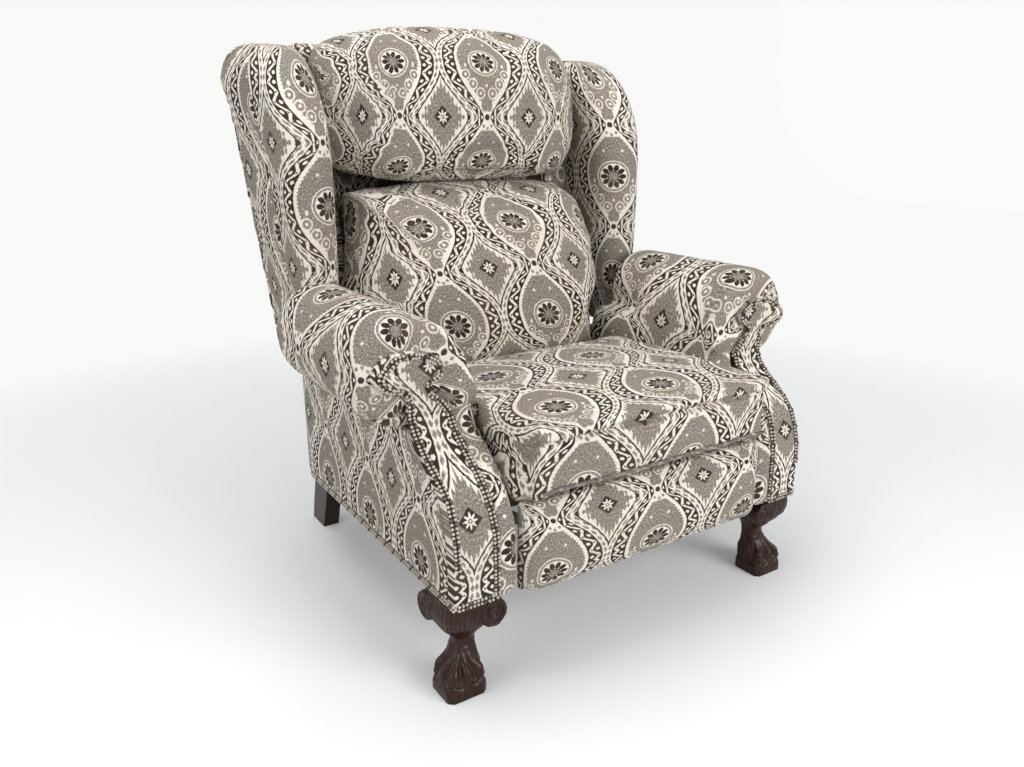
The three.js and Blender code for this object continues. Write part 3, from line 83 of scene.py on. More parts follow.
class Wire:
    """A number that runs through a material, with the sums that a print needs."""

    def __init__(self, tree: bpy.types.NodeTree, socket: bpy.types.NodeSocket) -> None:
        """Holds the socket that carries the number.

        Args:
            tree: the material's node tree.
            socket: the output that carries the number.
        """
        self.tree = tree
        self.socket = socket

    def sum(self, operation: str, *others: Wire | float, clamp: bool = False) -> Wire:
        """One sum on this number and others.

        Args:
            operation: the name of the sum.
            others: the further numbers, fixed or running.
            clamp: keeps the result from 0 to 1.

        Returns:
            The result.
        """
        node = self.tree.nodes.new("ShaderNodeMath")
        node.operation = operation
        node.use_clamp = clamp
        for place, value in enumerate((self, *others)):
            if isinstance(value, Wire):
                self.tree.links.new(value.socket, node.inputs[place])
            else:
                node.inputs[place].default_value = value
        return Wire(self.tree, node.outputs[0])

    def __add__(self, other: Wire | float) -> Wire:
        """Adds."""
        return self.sum("ADD", other)

    def __sub__(self, other: Wire | float) -> Wire:
        """Takes away."""
        return self.sum("SUBTRACT", other)

    def __mul__(self, other: Wire | float) -> Wire:
        """Multiplies."""
        return self.sum("MULTIPLY", other)

    def __truediv__(self, other: Wire | float) -> Wire:
        """Divides."""
        return self.sum("DIVIDE", other)

    def __pow__(self, other: Wire | float) -> Wire:
        """Raises to a power."""
        return self.sum("POWER", other)

    def rise(self, gain: float, lift: float) -> Wire:
        """The number times a gain plus a lift, kept from 0 to 1."""
        return self.sum("MULTIPLY_ADD", gain, lift, clamp=True)

    def taken_from(self, whole: float) -> Wire:
        """A fixed number less this one."""
        return self.sum("MULTIPLY_ADD", -1.0, whole)

    def size(self) -> Wire:
        """The number without its sign."""
        return self.sum("ABSOLUTE")

    def wave(self, turns: float) -> Wire:
        """A sine with so many turns to one."""
        return self.sum("MULTIPLY", turns * math.tau).sum("SINE")

    def wrapped(self) -> Wire:
        """The distance to the nearest whole number, with its sign."""
        return self.sum("WRAP", 0.5, -0.5)

    def least(self, other: Wire | float) -> Wire:
        """The smaller of two."""
        return self.sum("MINIMUM", other)

    def most(self, other: Wire | float) -> Wire:
        """The larger of two."""
        return self.sum("MAXIMUM", other)

    def below(self, limit: Wire | float, soft: float = SOFT_EDGE) -> Wire:
        """1 where the number is under a limit, 0 over it, with a soft edge.

        Args:
            limit: the limit, fixed or running.
            soft: the width of the edge.

        Returns:
            A share from 0 to 1.
        """
        if isinstance(limit, Wire):
            return (limit - self).rise(1 / soft, 0.5)
        return self.rise(-1 / soft, limit / soft + 0.5)

    def above(self, limit: Wire | float, soft: float = SOFT_EDGE) -> Wire:
        """1 where the number is over a limit.

        Args:
            limit: the limit, fixed or running.
            soft: the width of the edge.

        Returns:
            A share from 0 to 1.
        """
        if isinstance(limit, Wire):
            return (self - limit).rise(1 / soft, 0.5)
        return self.rise(1 / soft, 0.5 - limit / soft)

    def near(self, centre: float, reach: float, soft: float = SOFT_EDGE) -> Wire:
        """1 within a distance of a centre.

        Args:
            centre: the middle of the band.
            reach: half its width.
            soft: the width of its edges.

        Returns:
            A share from 0 to 1.
        """
        return (self - centre).size().below(reach, soft)


def length_of(a: Wire, b: Wire) -> Wire:
    """The distance from the origin of a point in a plane.

    Args:
        a: the first coordinate.
        b: the second one.

    Returns:
        The distance.
    """
    return (a * a + b * b).sum("SQRT")


def looked_at(tree: bpy.types.NodeTree) -> Wire:
    """Where the eye sees a surface, straight, in a polish or through glass.

    Args:
        tree: the node tree.

    Returns:
        1 there, and 0 for the light that falls on the chair.
    """
    path = tree.nodes.new("ShaderNodeLightPath")
    seen = Wire(tree, path.outputs["Is Camera Ray"])
    for ray in ("Is Glossy Ray", "Is Transmission Ray"):
        seen = seen.most(Wire(tree, path.outputs[ray]))
    return seen


def blended(
    tree: bpy.types.NodeTree, share: Wire, first: bpy.types.NodeSocket, second: bpy.types.NodeSocket
) -> bpy.types.NodeSocket:
    """Blends two surfaces.

    Args:
        tree: the node tree.
        share: how much of the second one shows.
        first: the first surface.
        second: the second one.

    Returns:
        The blended surface.
    """
    node = tree.nodes.new("ShaderNodeMixShader")
    for place, socket in enumerate((share.socket, first, second)):
        tree.links.new(socket, node.inputs[place])
    return node.outputs[0]


class Dyebath:
    """A material being made: its nodes, its coordinates, its surface and its mottled grey."""

    def __init__(self, name: str) -> None:
        """Starts an empty material.

        Args:
            name: the finish's name.
        """
        self.material = bpy.data.materials.new(name)
        self.material.use_nodes = True
        self.tree = self.material.node_tree
        self.surface = self.tree.nodes["Principled BSDF"]
        self.grey: bpy.types.NodeSocket | None = None

    def node(self, kind: str, **settings: object) -> bpy.types.Node:
        """Adds a node.

        Args:
            kind: the node's type.
            settings: its properties.

        Returns:
            The node.
        """
        node = self.tree.nodes.new(kind)
        for key, value in settings.items():
            setattr(node, key, value)
        return node

    def join(self, start: bpy.types.NodeSocket, end: bpy.types.NodeSocket) -> None:
        """Joins two sockets."""
        self.tree.links.new(start, end)

    def place(self) -> bpy.types.NodeSocket:
        """The point on the piece, in metres."""
        return self.node("ShaderNodeTexCoord").outputs["Object"]

    def laid(self) -> tuple[Wire, Wire, bpy.types.NodeSocket]:
        """The point on the laid cloth.

        Returns:
            Metres across, metres up, and both together.
        """
        source = self.node("ShaderNodeUVMap", uv_map=CLOTH_MAP).outputs[0]
        split = self.node("ShaderNodeSeparateXYZ")
        self.join(source, split.inputs[0])
        return Wire(self.tree, split.outputs[0]), Wire(self.tree, split.outputs[1]), source

    def stretched(self, source: bpy.types.NodeSocket, scale: Sequence[float]) -> bpy.types.NodeSocket:
        """A point scaled along each axis.

        Args:
            source: the point.
            scale: the three factors.

        Returns:
            The scaled point.
        """
        node = self.node("ShaderNodeMapping")
        self.join(source, node.inputs["Vector"])
        node.inputs["Scale"].default_value = scale
        return node.outputs[0]

    def grain(self, source: bpy.types.NodeSocket, scale: float, detail: float = 2.0) -> Wire:
        """Soft noise from 0 to 1.

        Args:
            source: the point.
            scale: waves to a metre.
            detail: how many finer layers it has.

        Returns:
            The noise.
        """
        node = self.node("ShaderNodeTexNoise")
        self.join(source, node.inputs["Vector"])
        node.inputs["Scale"].default_value = scale
        node.inputs["Detail"].default_value = detail
        return Wire(self.tree, node.outputs[0])

    def paint(self, ground: object, colour: object, share: Wire | float) -> bpy.types.NodeSocket:
        """Paints a colour over a ground.

        Args:
            ground: a colour or the socket that carries one.
            colour: the colour that goes over it.
            share: how much of it shows.

        Returns:
            The painted colour.
        """
        node = self.node("ShaderNodeMix", data_type="RGBA")
        for socket, value in ((node.inputs[6], ground), (node.inputs[7], colour)):
            if isinstance(value, bpy.types.NodeSocket):
                self.join(value, socket)
            else:
                socket.default_value = (*value, 1)
        if isinstance(share, Wire):
            self.join(share.socket, node.inputs[0])
        else:
            node.inputs[0].default_value = share
        return node.outputs[2]

    def raise_by(self, height: Wire, depth: float, strength: float = 1.0) -> None:
        """Raises the surface by a height from 0 to 1.

        Args:
            height: the height.
            depth: what 1 stands for, in metres.
            strength: how strongly it shades.
        """
        node = self.node("ShaderNodeBump")
        node.inputs["Strength"].default_value = strength
        node.inputs["Distance"].default_value = depth
        self.join(height.socket, node.inputs["Height"])
        self.join(node.outputs[0], self.surface.inputs["Normal"])

    def finish(self, colour: bpy.types.NodeSocket, **fixed: float) -> bpy.types.Material:
        """Gives the surface its colour and fixed values.

        Args:
            colour: the colour's socket.
            fixed: values of the surface's own sockets, with _ for a blank.

        Returns:
            The material.
        """
        self.join(colour, self.surface.inputs["Base Color"])
        for key, value in fixed.items():
            self.surface.inputs[key.replace("_", " ")].default_value = value
        return self.material


@dataclass(frozen=True)
class PrintedCloth:
    """Ivory cloth with a trellis of scrolled bands, round flowers and diamonds.

    The repeat is in metres. Places and sizes in the print are shares of the repeat, counted from
    the middle of a column and of a flower.
    """

    name: str = "printed_cloth"
    across: float = 0.210
    up: float = 0.212
    ivory: Colour = (0.80, 0.735, 0.645)
    taupe: Colour = (0.165, 0.142, 0.118)
    fleck: Colour = (0.47, 0.43, 0.37)
    dark: Colour = (0.030, 0.020, 0.018)
    handled: Colour = (0.30, 0.235, 0.14)
    roughness: float = 0.9
    sheen: float = 0.04
    ragged: float = 0.014
    band_spread: float = 0.312
    band_waist: float = 0.073
    band_swell: float = 0.036
    band_least: float = 0.032
    vine_waves: float = 6.5
    lozenge_gap: float = 0.008
    lozenge_row: float = 0.043
    lozenge_pitch: float = 0.07
    lozenge_size: float = 0.43
    diamond_edge: float = 0.136
    comb_teeth: float = 26.0
    comb_bumps: float = 13.0
    comb_reach: float = 0.10
    square: Pair = (0.100, 0.094)
    fringe_waves: float = 17.0
    fringe_reach: float = 0.014
    curls: tuple[Pair, ...] = ((0.066, 0.300), (0.150, 0.222), (0.222, 0.135))
    curl_rings: tuple[float, float, float] = (0.050, 0.038, 0.014)
    seeds: tuple[tuple[Pair, Pair], ...] = (
        ((0.212, 0.045), (1.0, 0.6)), ((0.135, 0.185), (0.8, 1.0)),
        ((0.09, -0.25), (1.0, 1.0)), ((0.0, 0.235), (1.0, 1.0)),
    )
    seed_size: float = 0.013
    leaf: Pair = (0.024, 0.405)
    leaf_size: float = 0.038
    dots: tuple[Pair, Pair] = ((0.045, 0.425), (0.0, 0.405))
    dot_size: float = 0.015
    knot_size: float = 0.027
    petals: int = 10
    disc: float = 0.138
    disc_ring: float = 0.164
    petal_ring: float = 0.094
    petal_size: Pair = (0.036, 0.026)
    heart: float = 0.060
    heart_grey: float = 0.049

    def material(self) -> bpy.types.Material:
        """Makes the printed cloth.

        Returns:
            The material.
        """
        bath = Dyebath(self.name)
        over, along, point = bath.laid()
        slub = bath.grain(bath.stretched(point, (1.0, 0.4, 1.0)), 620.0)
        bath.grey = bath.paint(self.taupe, self.fleck, slub.rise(5.0, -2.3))
        ragged = bath.grain(bath.stretched(point, (1.0, 0.45, 1.0)), 420.0)
        shift = (ragged - 0.5) * self.ragged
        u = (over / self.across + shift).wrapped().size()
        height = (along / self.up + shift * 0.6).wrapped()
        v = height.size()
        turn = v * 2
        bow = ((turn ** 2.2).taken_from(1.0)).most(0.0) ** 1.5
        half = ((turn * turn).taken_from(1.0)) * self.band_swell + self.band_least
        out = u - (bow * self.band_spread + self.band_waist)
        colour = self.net(bath, v, out, half)
        colour = self.diamond(bath, colour, u, v, out)
        colour = self.field(bath, colour, u, height, out + half)
        colour = self.band(bath, colour, v, out, half)
        colour = self.flower(bath, colour, u, height)
        return self.weave(bath, colour, point)

    def net(self, bath: Dyebath, v: Wire, out: Wire, half: Wire) -> bpy.types.NodeSocket:
        """The ivory ground with two rows of grey lozenges beside the band.

        Args:
            bath: the material.
            v: distance from the flower's middle, in repeats.
            out: distance outwards from the middle of the band.
            half: half the band's width.

        Returns:
            The colour so far.
        """
        row = (out - half - self.lozenge_gap) / self.lozenge_row
        brick = row.sum("FLOOR") * 0.5
        a = row.sum("FRACT") - 0.5
        b = (v / self.lozenge_pitch + brick).wrapped()
        lozenge = (a.size() + b.size() * 0.95).below(self.lozenge_size, 0.1)
        return bath.paint(self.ivory, bath.grey, lozenge * out.above(half))

    def diamond(
        self, bath: Dyebath, ground: bpy.types.NodeSocket, u: Wire, v: Wire, out: Wire
    ) -> bpy.types.NodeSocket:
        """The diamond field between four bands, with its flowered square.

        Args:
            bath: the material.
            ground: the colour so far.
            u: distance from the column's middle, in repeats.
            v: distance from the flower's middle, in repeats.
            out: distance outwards from the middle of the band.

        Returns:
            The colour so far.
        """
        edge = self.diamond_edge
        a = u.taken_from(0.5)
        b = v.taken_from(0.5)
        colour = bath.paint(ground, self.ivory, out.above(edge))
        comb = (a * self.comb_teeth).wrapped().size() * self.comb_reach
        bumps = (b * self.comb_bumps).wrapped().size() * b.below(0.14, 0.08) * self.comb_reach
        colour = bath.paint(colour, bath.grey, (out - comb - bumps).above(edge + 0.018, 0.01))
        colour = bath.paint(colour, self.dark, out.near(edge, 0.0085, 0.005))
        corner = (out - edge).near(0.0, 0.02) * b.below(0.022, 0.01)
        colour = bath.paint(colour, self.dark, corner)
        square = (a / self.square[0] + b / self.square[1]).below(1.0, 0.07)
        colour = bath.paint(colour, self.dark, square)
        reach = length_of(a, b)
        angle = b.sum("ARCTAN2", a) / (math.tau / 8)
        petal = reach.below((angle.wrapped().size() * 2).taken_from(1.0) * 0.040 + 0.022, 0.01)
        colour = bath.paint(colour, self.ivory, petal)
        return bath.paint(colour, self.dark, reach.near(0.013, 0.004, 0.004))

    def field(
        self, bath: Dyebath, ground: bpy.types.NodeSocket, u: Wire, height: Wire, edge: Wire
    ) -> bpy.types.NodeSocket:
        """The fringed grey field round the flower, with curls and a leaf over the knot.

        Args:
            bath: the material.
            ground: the colour so far.
            u: distance from the column's middle, in repeats.
            height: distance up from the flower's middle, in repeats.
            edge: distance outwards from the band's inner edge.

        Returns:
            The colour so far.
        """
        v = height.size()
        down = height * -1
        colour = bath.paint(ground, self.ivory, edge.below(0.0))
        fringe = v.wave(self.fringe_waves).size() * self.fringe_reach
        fringe = fringe + v * 0.05 + down.above(0.05, 0.3) * 0.02
        grey = (edge + fringe).below(-0.02, 0.008)
        colour = bath.paint(colour, bath.grey, grey * v.below(0.385, 0.012))
        curls = self.nearest([(u - place, down - low) for place, low in self.curls])
        for size, tone in zip(self.curl_rings, (self.ivory, bath.grey, self.ivory)):
            colour = bath.paint(colour, tone, curls.below(size, 0.008))
        seeds = self.nearest(
            [((u - place) * wide, (down - low) * tall) for (place, low), (wide, tall) in self.seeds]
        )
        colour = bath.paint(colour, self.ivory, seeds.below(self.seed_size, 0.01))
        leaf = length_of(u - self.leaf[0], (down - self.leaf[1]) * 0.8)
        colour = bath.paint(colour, bath.grey, leaf.below(self.leaf_size, 0.01))
        dots = self.nearest([(u - place, height - high) for place, high in self.dots])
        colour = bath.paint(colour, bath.grey, dots.below(self.dot_size, 0.008))
        knot = length_of(u, v.taken_from(0.5)).below(self.knot_size, 0.008)
        return bath.paint(colour, self.dark, knot)

    def nearest(self, offsets: Sequence[tuple[Wire, Wire]]) -> Wire:
        """The distance to the nearest of some small motifs.

        Args:
            offsets: the way to each motif, across and up.

        Returns:
            The least distance.
        """
        least = length_of(*offsets[0])
        for offset in offsets[1:]:
            least = least.least(length_of(*offset))
        return least

    def band(
        self, bath: Dyebath, ground: bpy.types.NodeSocket, v: Wire, out: Wire, half: Wire
    ) -> bpy.types.NodeSocket:
        """The dark band with its scrolling ivory vine.

        Args:
            bath: the material.
            ground: the colour so far.
            v: distance from the flower's middle, in repeats.
            out: distance outwards from the middle of the band.
            half: half the band's width.

        Returns:
            The colour so far.
        """
        colour = bath.paint(ground, self.dark, out.size().below(half + 0.002))
        c = out / half
        swing = v.wave(self.vine_waves)
        q = c * swing.sum("SIGN")
        vine = (q - swing.size() * 0.5).size().below(0.25, 0.12)
        crest = (v * (self.vine_waves * 2) - 0.5).wrapped()
        lobe = crest * crest * 1.9
        bud = (lobe + (q + 0.48) * (q + 0.48)).below(0.075, 0.05)
        eye = (lobe + (q - 0.44) * (q - 0.44)).above(0.02, 0.015)
        inner = c.size().below(0.84, 0.08)
        return bath.paint(colour, self.ivory, (vine * eye).most(bud) * inner)

    def flower(
        self, bath: Dyebath, ground: bpy.types.NodeSocket, u: Wire, height: Wire
    ) -> bpy.types.NodeSocket:
        """The round flower of dark petals on an ivory disc.

        Args:
            bath: the material.
            ground: the colour so far.
            u: distance from the column's middle, in repeats.
            height: distance up from the flower's middle, in repeats.

        Returns:
            The colour so far.
        """
        tall = height * 1.1
        reach = length_of(u, tall)
        step = math.tau / self.petals
        turn = tall.sum("ARCTAN2", u) / step
        colour = bath.paint(ground, self.ivory, reach.near(self.disc_ring, 0.005))
        colour = bath.paint(colour, self.ivory, reach.below(self.disc, 0.01))
        side = turn.wrapped() * reach * step
        petal = length_of((reach - self.petal_ring) / self.petal_size[0], side / self.petal_size[1])
        colour = bath.paint(colour, self.dark, petal.below(1.0, 0.15))
        colour = bath.paint(colour, self.dark, reach.below(self.heart, 0.008))
        return bath.paint(colour, bath.grey, reach.below(self.heart_grey, 0.008))

    def weave(
        self, bath: Dyebath, colour: bpy.types.NodeSocket, point: bpy.types.NodeSocket
    ) -> bpy.types.Material:
        """The yarns: streaks of lighter and darker thread, and the cloth's ribs.

        Args:
            bath: the material.
            colour: the printed colour.
            point: the place on the laid cloth.

        Returns:
            The material.
        """
        warp = bath.grain(bath.stretched(point, (1.0, 0.16, 1.0)), 1500.0)
        weft = bath.grain(bath.stretched(point, (0.16, 1.0, 1.0)), 1500.0)
        slub = bath.grain(bath.stretched(point, (1.0, 0.5, 1.0)), 430.0, 3.0)
        worn = bath.grain(point, 9.0)
        thread = warp * 0.25 + weft * 0.25 + slub * 0.5
        colour = bath.paint(colour, self.ivory, ((thread - 0.56) * 2.0).most(0.0).least(0.14))
        colour = bath.paint(colour, self.dark, (thread.taken_from(0.5) * 3.0).most(0.0).least(0.45))
        colour = bath.paint(colour, self.handled, (worn - 0.42).most(0.0) * 0.6)
        bath.raise_by(thread, 0.0012, 0.7)
        return bath.finish(
            colour, Roughness=self.roughness, Sheen_Weight=self.sheen, Sheen_Roughness=0.5,
            Specular_IOR_Level=0.06,
        )


@dataclass(frozen=True)
class BeadBraid:
    """Braid through which the print's ivory and dark threads run as small beads."""

    name: str = "bead_braid"
    light: Colour = (0.62, 0.56, 0.48)
    dark: Colour = (0.035, 0.026, 0.022)

    def material(self) -> bpy.types.Material:
        """Makes the braid.

        Returns:
            The material.
        """
        bath = Dyebath(self.name)
        tone, _, _ = bath.laid()
        thread = bath.grain(bath.place(), 900.0)
        colour = bath.paint(self.dark, self.light, tone)
        colour = bath.paint(colour, self.dark, (thread - 0.45).most(0.0) * 1.5)
        bath.raise_by(thread, 0.0008)
        return bath.finish(colour, Roughness=0.85, Specular_IOR_Level=0.2)


@dataclass(frozen=True)
class StainedWood:
    """Stained, polished walnut with a fine grain along the leg."""

    name: str = "stained_walnut"
    pale: Colour = (0.050, 0.017, 0.008)
    deep: Colour = (0.010, 0.0042, 0.0028)
    roughness: float = 0.36

    def material(self) -> bpy.types.Material:
        """Makes the stained wood.

        Returns:
            The material.
        """
        bath = Dyebath(self.name)
        point = bath.place()
        grain = bath.grain(bath.stretched(point, (1.0, 1.0, 0.12)), 240.0, 4.0)
        cloud = bath.grain(point, 18.0)
        colour = bath.paint(self.deep, self.pale, grain.rise(2.2, -0.65))
        colour = bath.paint(colour, self.deep, (cloud - 0.5).most(0.0) * 2.0)
        bath.raise_by(grain, 0.0006, 0.35)
        return bath.finish(
            colour, Roughness=self.roughness, Specular_IOR_Level=0.12, Coat_Weight=0.22,
            Coat_Roughness=0.16,
        )


@dataclass(frozen=True)
class SawnWood:
    """Plain sawn hardwood, unfinished."""

    name: str = "sawn_hardwood"
    pale: Colour = (0.50, 0.35, 0.20)
    deep: Colour = (0.31, 0.19, 0.10)

    def material(self) -> bpy.types.Material:
        """Makes the sawn wood.

        Returns:
            The material.
        """
        bath = Dyebath(self.name)
        point = bath.place()
        grain = bath.grain(bath.stretched(point, (1.0, 0.1, 1.0)), 130.0, 4.0)
        saw = bath.grain(bath.stretched(point, (0.3, 1.0, 0.3)), 700.0)
        colour = bath.paint(self.pale, self.deep, grain.rise(2.0, -0.5))
        bath.raise_by(grain + saw * 0.5, 0.0005, 0.4)
        return bath.finish(colour, Roughness=0.7, Specular_IOR_Level=0.3)


@dataclass(frozen=True)
class EnamelledSteel:
    """Dark enamelled steel strip with a fine satin texture."""

    name: str = "enamelled_steel"
    base: Colour = (0.035, 0.036, 0.038)
    worn: Colour = (0.11, 0.11, 0.115)

    def material(self) -> bpy.types.Material:
        """Makes the steel.

        Returns:
            The material.
        """
        bath = Dyebath(self.name)
        point = bath.place()
        speck = bath.grain(point, 600.0, 3.0)
        scuff = bath.grain(bath.stretched(point, (1.0, 0.2, 1.0)), 50.0, 3.0)
        colour = bath.paint(self.base, self.worn, scuff.rise(2.4, -1.1))
        bath.raise_by(speck, 0.0002, 0.5)
        return bath.finish(colour, Roughness=0.42, Metallic=0.7)


# Meshes


def read_points(piece: bpy.types.Object) -> np.ndarray:
    """Reads the corners of a piece's mesh.

    Args:
        piece: the piece.

    Returns:
        Rows of x, y and z.
    """
    points = np.empty(len(piece.data.vertices) * 3)
    piece.data.vertices.foreach_get("co", points)
    return points.reshape(-1, 3)


def read_normals(piece: bpy.types.Object) -> np.ndarray:
    """Reads the outward directions at the corners of a piece's mesh.

    Args:
        piece: the piece.

    Returns:
        Rows of x, y and z.
    """
    normals = np.empty(len(piece.data.vertices) * 3, np.float32)
    piece.data.vertex_normals.foreach_get("vector", normals)
    return normals.reshape(-1, 3).astype(float)


def write_points(piece: bpy.types.Object, points: np.ndarray) -> None:
    """Moves the corners of a piece's mesh to new places.

    Args:
        piece: the piece.
        points: rows of x, y and z.
    """
    piece.data.vertices.foreach_set("co", points.ravel())
    piece.data.update()


def new_piece(name: str, mesh: bpy.types.Mesh) -> bpy.types.Object:
    """Puts a mesh into the scene.

    Args:
        name: the piece's name.
        mesh: its mesh.

    Returns:
        The piece.
    """
    piece = bpy.data.objects.new(name, mesh)
    bpy.context.scene.collection.objects.link(piece)
    return piece


def mesh_from(build: bmesh.types.BMesh, name: str) -> bpy.types.Mesh:
    """Finishes a mesh being built.

    Args:
        build: the mesh being built.
        name: its name.

    Returns:
        The mesh.
    """
    mesh = bpy.data.meshes.new(name)
    build.to_mesh(mesh)
    build.free()
    return mesh


def smooth_shaded(mesh: bpy.types.Mesh) -> None:
    """Shades a mesh as one smooth surface."""
    for facet in mesh.polygons:
        facet.use_smooth = True


def settle(piece: bpy.types.Object) -> bpy.types.Object:
    """Makes a piece's modifiers part of its mesh.

    Args:
        piece: the piece.

    Returns:
        The same piece.
    """
    bpy.context.view_layer.update()
    shaped = piece.evaluated_get(bpy.context.evaluated_depsgraph_get())
    mesh = bpy.data.meshes.new_from_object(shaped)
    piece.modifiers.clear()
    piece.data = mesh
    return piece


def skin_over(name: str, nodes: Sequence[str], voxel: float, relax: int = 6) -> bpy.types.Object:
    """Draws one closed skin over solids of the frame.

    Args:
        name: the new piece's name.
        nodes: the solids under it.
        voxel: the size of its facets.
        relax: how often it is smoothed.

    Returns:
        The skin.
    """
    build = bmesh.new()
    for node in nodes:
        build.from_mesh(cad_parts[node].data)
    bmesh.ops.remove_doubles(build, verts=build.verts, dist=1e-5)
    return reskinned(new_piece(name, mesh_from(build, name)), voxel, relax)


def reskinned(piece: bpy.types.Object, voxel: float, relax: int) -> bpy.types.Object:
    """Draws a fresh, even skin over a piece.

    Args:
        piece: the piece.
        voxel: the size of its facets.
        relax: how often it is smoothed.

    Returns:
        The same piece.
    """
    skin = piece.modifiers.new("skin", "REMESH")
    skin.mode = "VOXEL"
    skin.voxel_size = voxel
    smooth = piece.modifiers.new("relax", "SMOOTH")
    smooth.factor = 0.5
    smooth.iterations = relax
    return settle(piece)


def refined(piece: bpy.types.Object) -> bpy.types.Object:
    """Rounds a mesh by splitting its facets once.

    Args:
        piece: the piece.

    Returns:
        The same piece.
    """
    modifier = piece.modifiers.new("round", "SUBSURF")
    modifier.levels = modifier.render_levels = 1
    settle(piece)
    smooth_shaded(piece.data)
    return piece


def mirrored(piece: bpy.types.Object, name: str) -> bpy.types.Object:
    """The mirror image of a piece across the middle plane.

    Args:
        piece: the piece on the left.
        name: the image's name.

    Returns:
        The image.
    """
    image = new_piece(name, piece.data.copy())
    image.data.transform(Matrix.Scale(-1, 4, (1, 0, 0)))
    image.data.flip_normals()
    return image


def swell(piece: bpy.types.Object, cap: float, pressure: float = 4.0, frames: int = 18) -> None:
    """Blows a closed cover up from inside, as its stuffing does.

    Args:
        piece: the cover, with small even facets.
        cap: how far a point may move.
        pressure: the push of the stuffing.
        frames: how long it pushes.
    """
    start = read_points(piece)
    cover = piece.modifiers.new("stuffing", "CLOTH")
    cover.settings.quality = 5
    cover.settings.use_pressure = True
    cover.settings.uniform_pressure_force = pressure
    cover.settings.effector_weights.gravity = 0
    cover.settings.tension_stiffness = 25
    cover.settings.compression_stiffness = 12
    cover.settings.bending_stiffness = 1.5
    cover.collision_settings.use_collision = False
    cover.point_cache.frame_end = frames
    for moment in range(1, frames + 1):
        bpy.context.scene.frame_set(moment)
    settle(piece)
    bpy.context.scene.frame_set(1)
    move = read_points(piece) - start
    reach = np.linalg.norm(move, axis=1, keepdims=True)
    write_points(piece, start + move * np.minimum(1.0, cap / np.maximum(reach, 1e-9)))


def stuff(piece: bpy.types.Object, cap: float) -> None:
    """Draws a cover in a little, then lets its stuffing fill it.

    Args:
        piece: the cover.
        cap: how far a point may move.
    """
    before = read_points(piece)
    write_points(piece, before - read_normals(piece) * cap * 0.5)
    swell(piece, cap)
    after = read_points(piece)
    for axis in (0, 2):
        low, high = before[:, axis].min(), before[:, axis].max()
        start, end = after[:, axis].min(), after[:, axis].max()
        after[:, axis] = low + (after[:, axis] - start) * (high - low) / (end - start)
    write_points(piece, after)


def crease(piece: bpy.types.Object, depth: float, scale: float) -> None:
    """Gives a cushion the slight hollows and creases of a used one.

    Args:
        piece: the cushion.
        depth: how deep they are.
        scale: waves to a metre.
    """
    points = read_points(piece)
    hollows = ripples(points, scale, 4.0)
    drawn_out = np.array([0.35, 1.0, 1.0])
    folds = ripples(points * drawn_out, scale * 3.5, 9.0)
    write_points(piece, points + read_normals(piece) * (depth * hollows + depth * 0.3 * folds)[:, None])


def smoothstep(low: float, high: float, value: np.ndarray) -> np.ndarray:
    """A smooth rise from 0 to 1.

    Args:
        low: where it starts.
        high: where it ends.
        value: the places asked for.

    Returns:
        The shares.
    """
    share = np.clip((value - low) / (high - low), 0, 1)
    return share * share * (3 - 2 * share)


def ripples(points: np.ndarray, scale: float, seed: float) -> np.ndarray:
    """Soft noise about zero at each point.

    Args:
        points: rows of x, y and z.
        scale: waves to a metre.
        seed: shifts the noise.

    Returns:
        One number for each point.
    """
    shift = Vector((seed, seed * 1.7, seed * 2.3))
    return np.array([noise.noise(Vector(point) * scale + shift) for point in points])


def surface_tree(pieces: Sequence[bpy.types.Object]) -> BVHTree:
    """A search tree over the facets of some pieces.

    Args:
        pieces: the pieces.

    Returns:
        The tree.
    """
    build = bmesh.new()
    for piece in pieces:
        build.from_mesh(piece.data)
    tree = BVHTree.FromBMesh(build)
    build.free()
    return tree


@dataclass(frozen=True)
class Corner:
    """A rounded corner of a cushion that its stuffing fills out.

    ``start`` is where the rounding starts, ``size`` the signed way from there to the corner, and
    ``share`` how square the corner becomes, from 0 to 1.
    """

    start: Pair
    size: Pair
    share: float


def squared(
    a: np.ndarray, b: np.ndarray, start: Pair, size: Pair, share: float
) -> tuple[np.ndarray, np.ndarray]:
    """Fills out a rounded corner toward a square one.

    Args:
        a: first coordinate of the points.
        b: second coordinate of the points.
        start: where the rounding starts, in both coordinates.
        size: from there to the corner, signed.
        share: 0 leaves the corner round, 1 makes it square.

    Returns:
        Both coordinates, moved.
    """
    p = (a - start[0]) / size[0]
    q = (b - start[1]) / size[1]
    inside = (p > 0) & (q > 0)
    largest = np.maximum(np.maximum(p, q), 1e-6)
    gain = np.where(inside, 1 + share * (np.hypot(p, q) / largest - 1), 1)
    return (
        np.where(inside, start[0] + p * gain * size[0], a),
        np.where(inside, start[1] + q * gain * size[1], b),
    )


def mirror_corner(corner: Corner, sign: int) -> tuple[Pair, Pair]:
    """The start and size of a corner on the left or, mirrored, on the right.

    Args:
        corner: the corner on the left.
        sign: 1 on the left, -1 on the right.

    Returns:
        Where the rounding starts, and the way from there to the corner.
    """
    return (corner.start[0] * sign, corner.start[1]), (corner.size[0] * sign, corner.size[1])


def spaced(line: np.ndarray, pitch: float) -> tuple[np.ndarray, np.ndarray]:
    """Evenly spaced points on a line.

    Args:
        line: rows of x, y and z.
        pitch: the way from one point to the next.

    Returns:
        How far along the line each point lies, and the points.
    """
    steps = np.concatenate([[0], np.cumsum(np.linalg.norm(np.diff(line, axis=0), axis=1))])
    places = np.arange(0, steps[-1], pitch)
    return places, np.column_stack([np.interp(places, steps, line[:, i]) for i in range(3)])


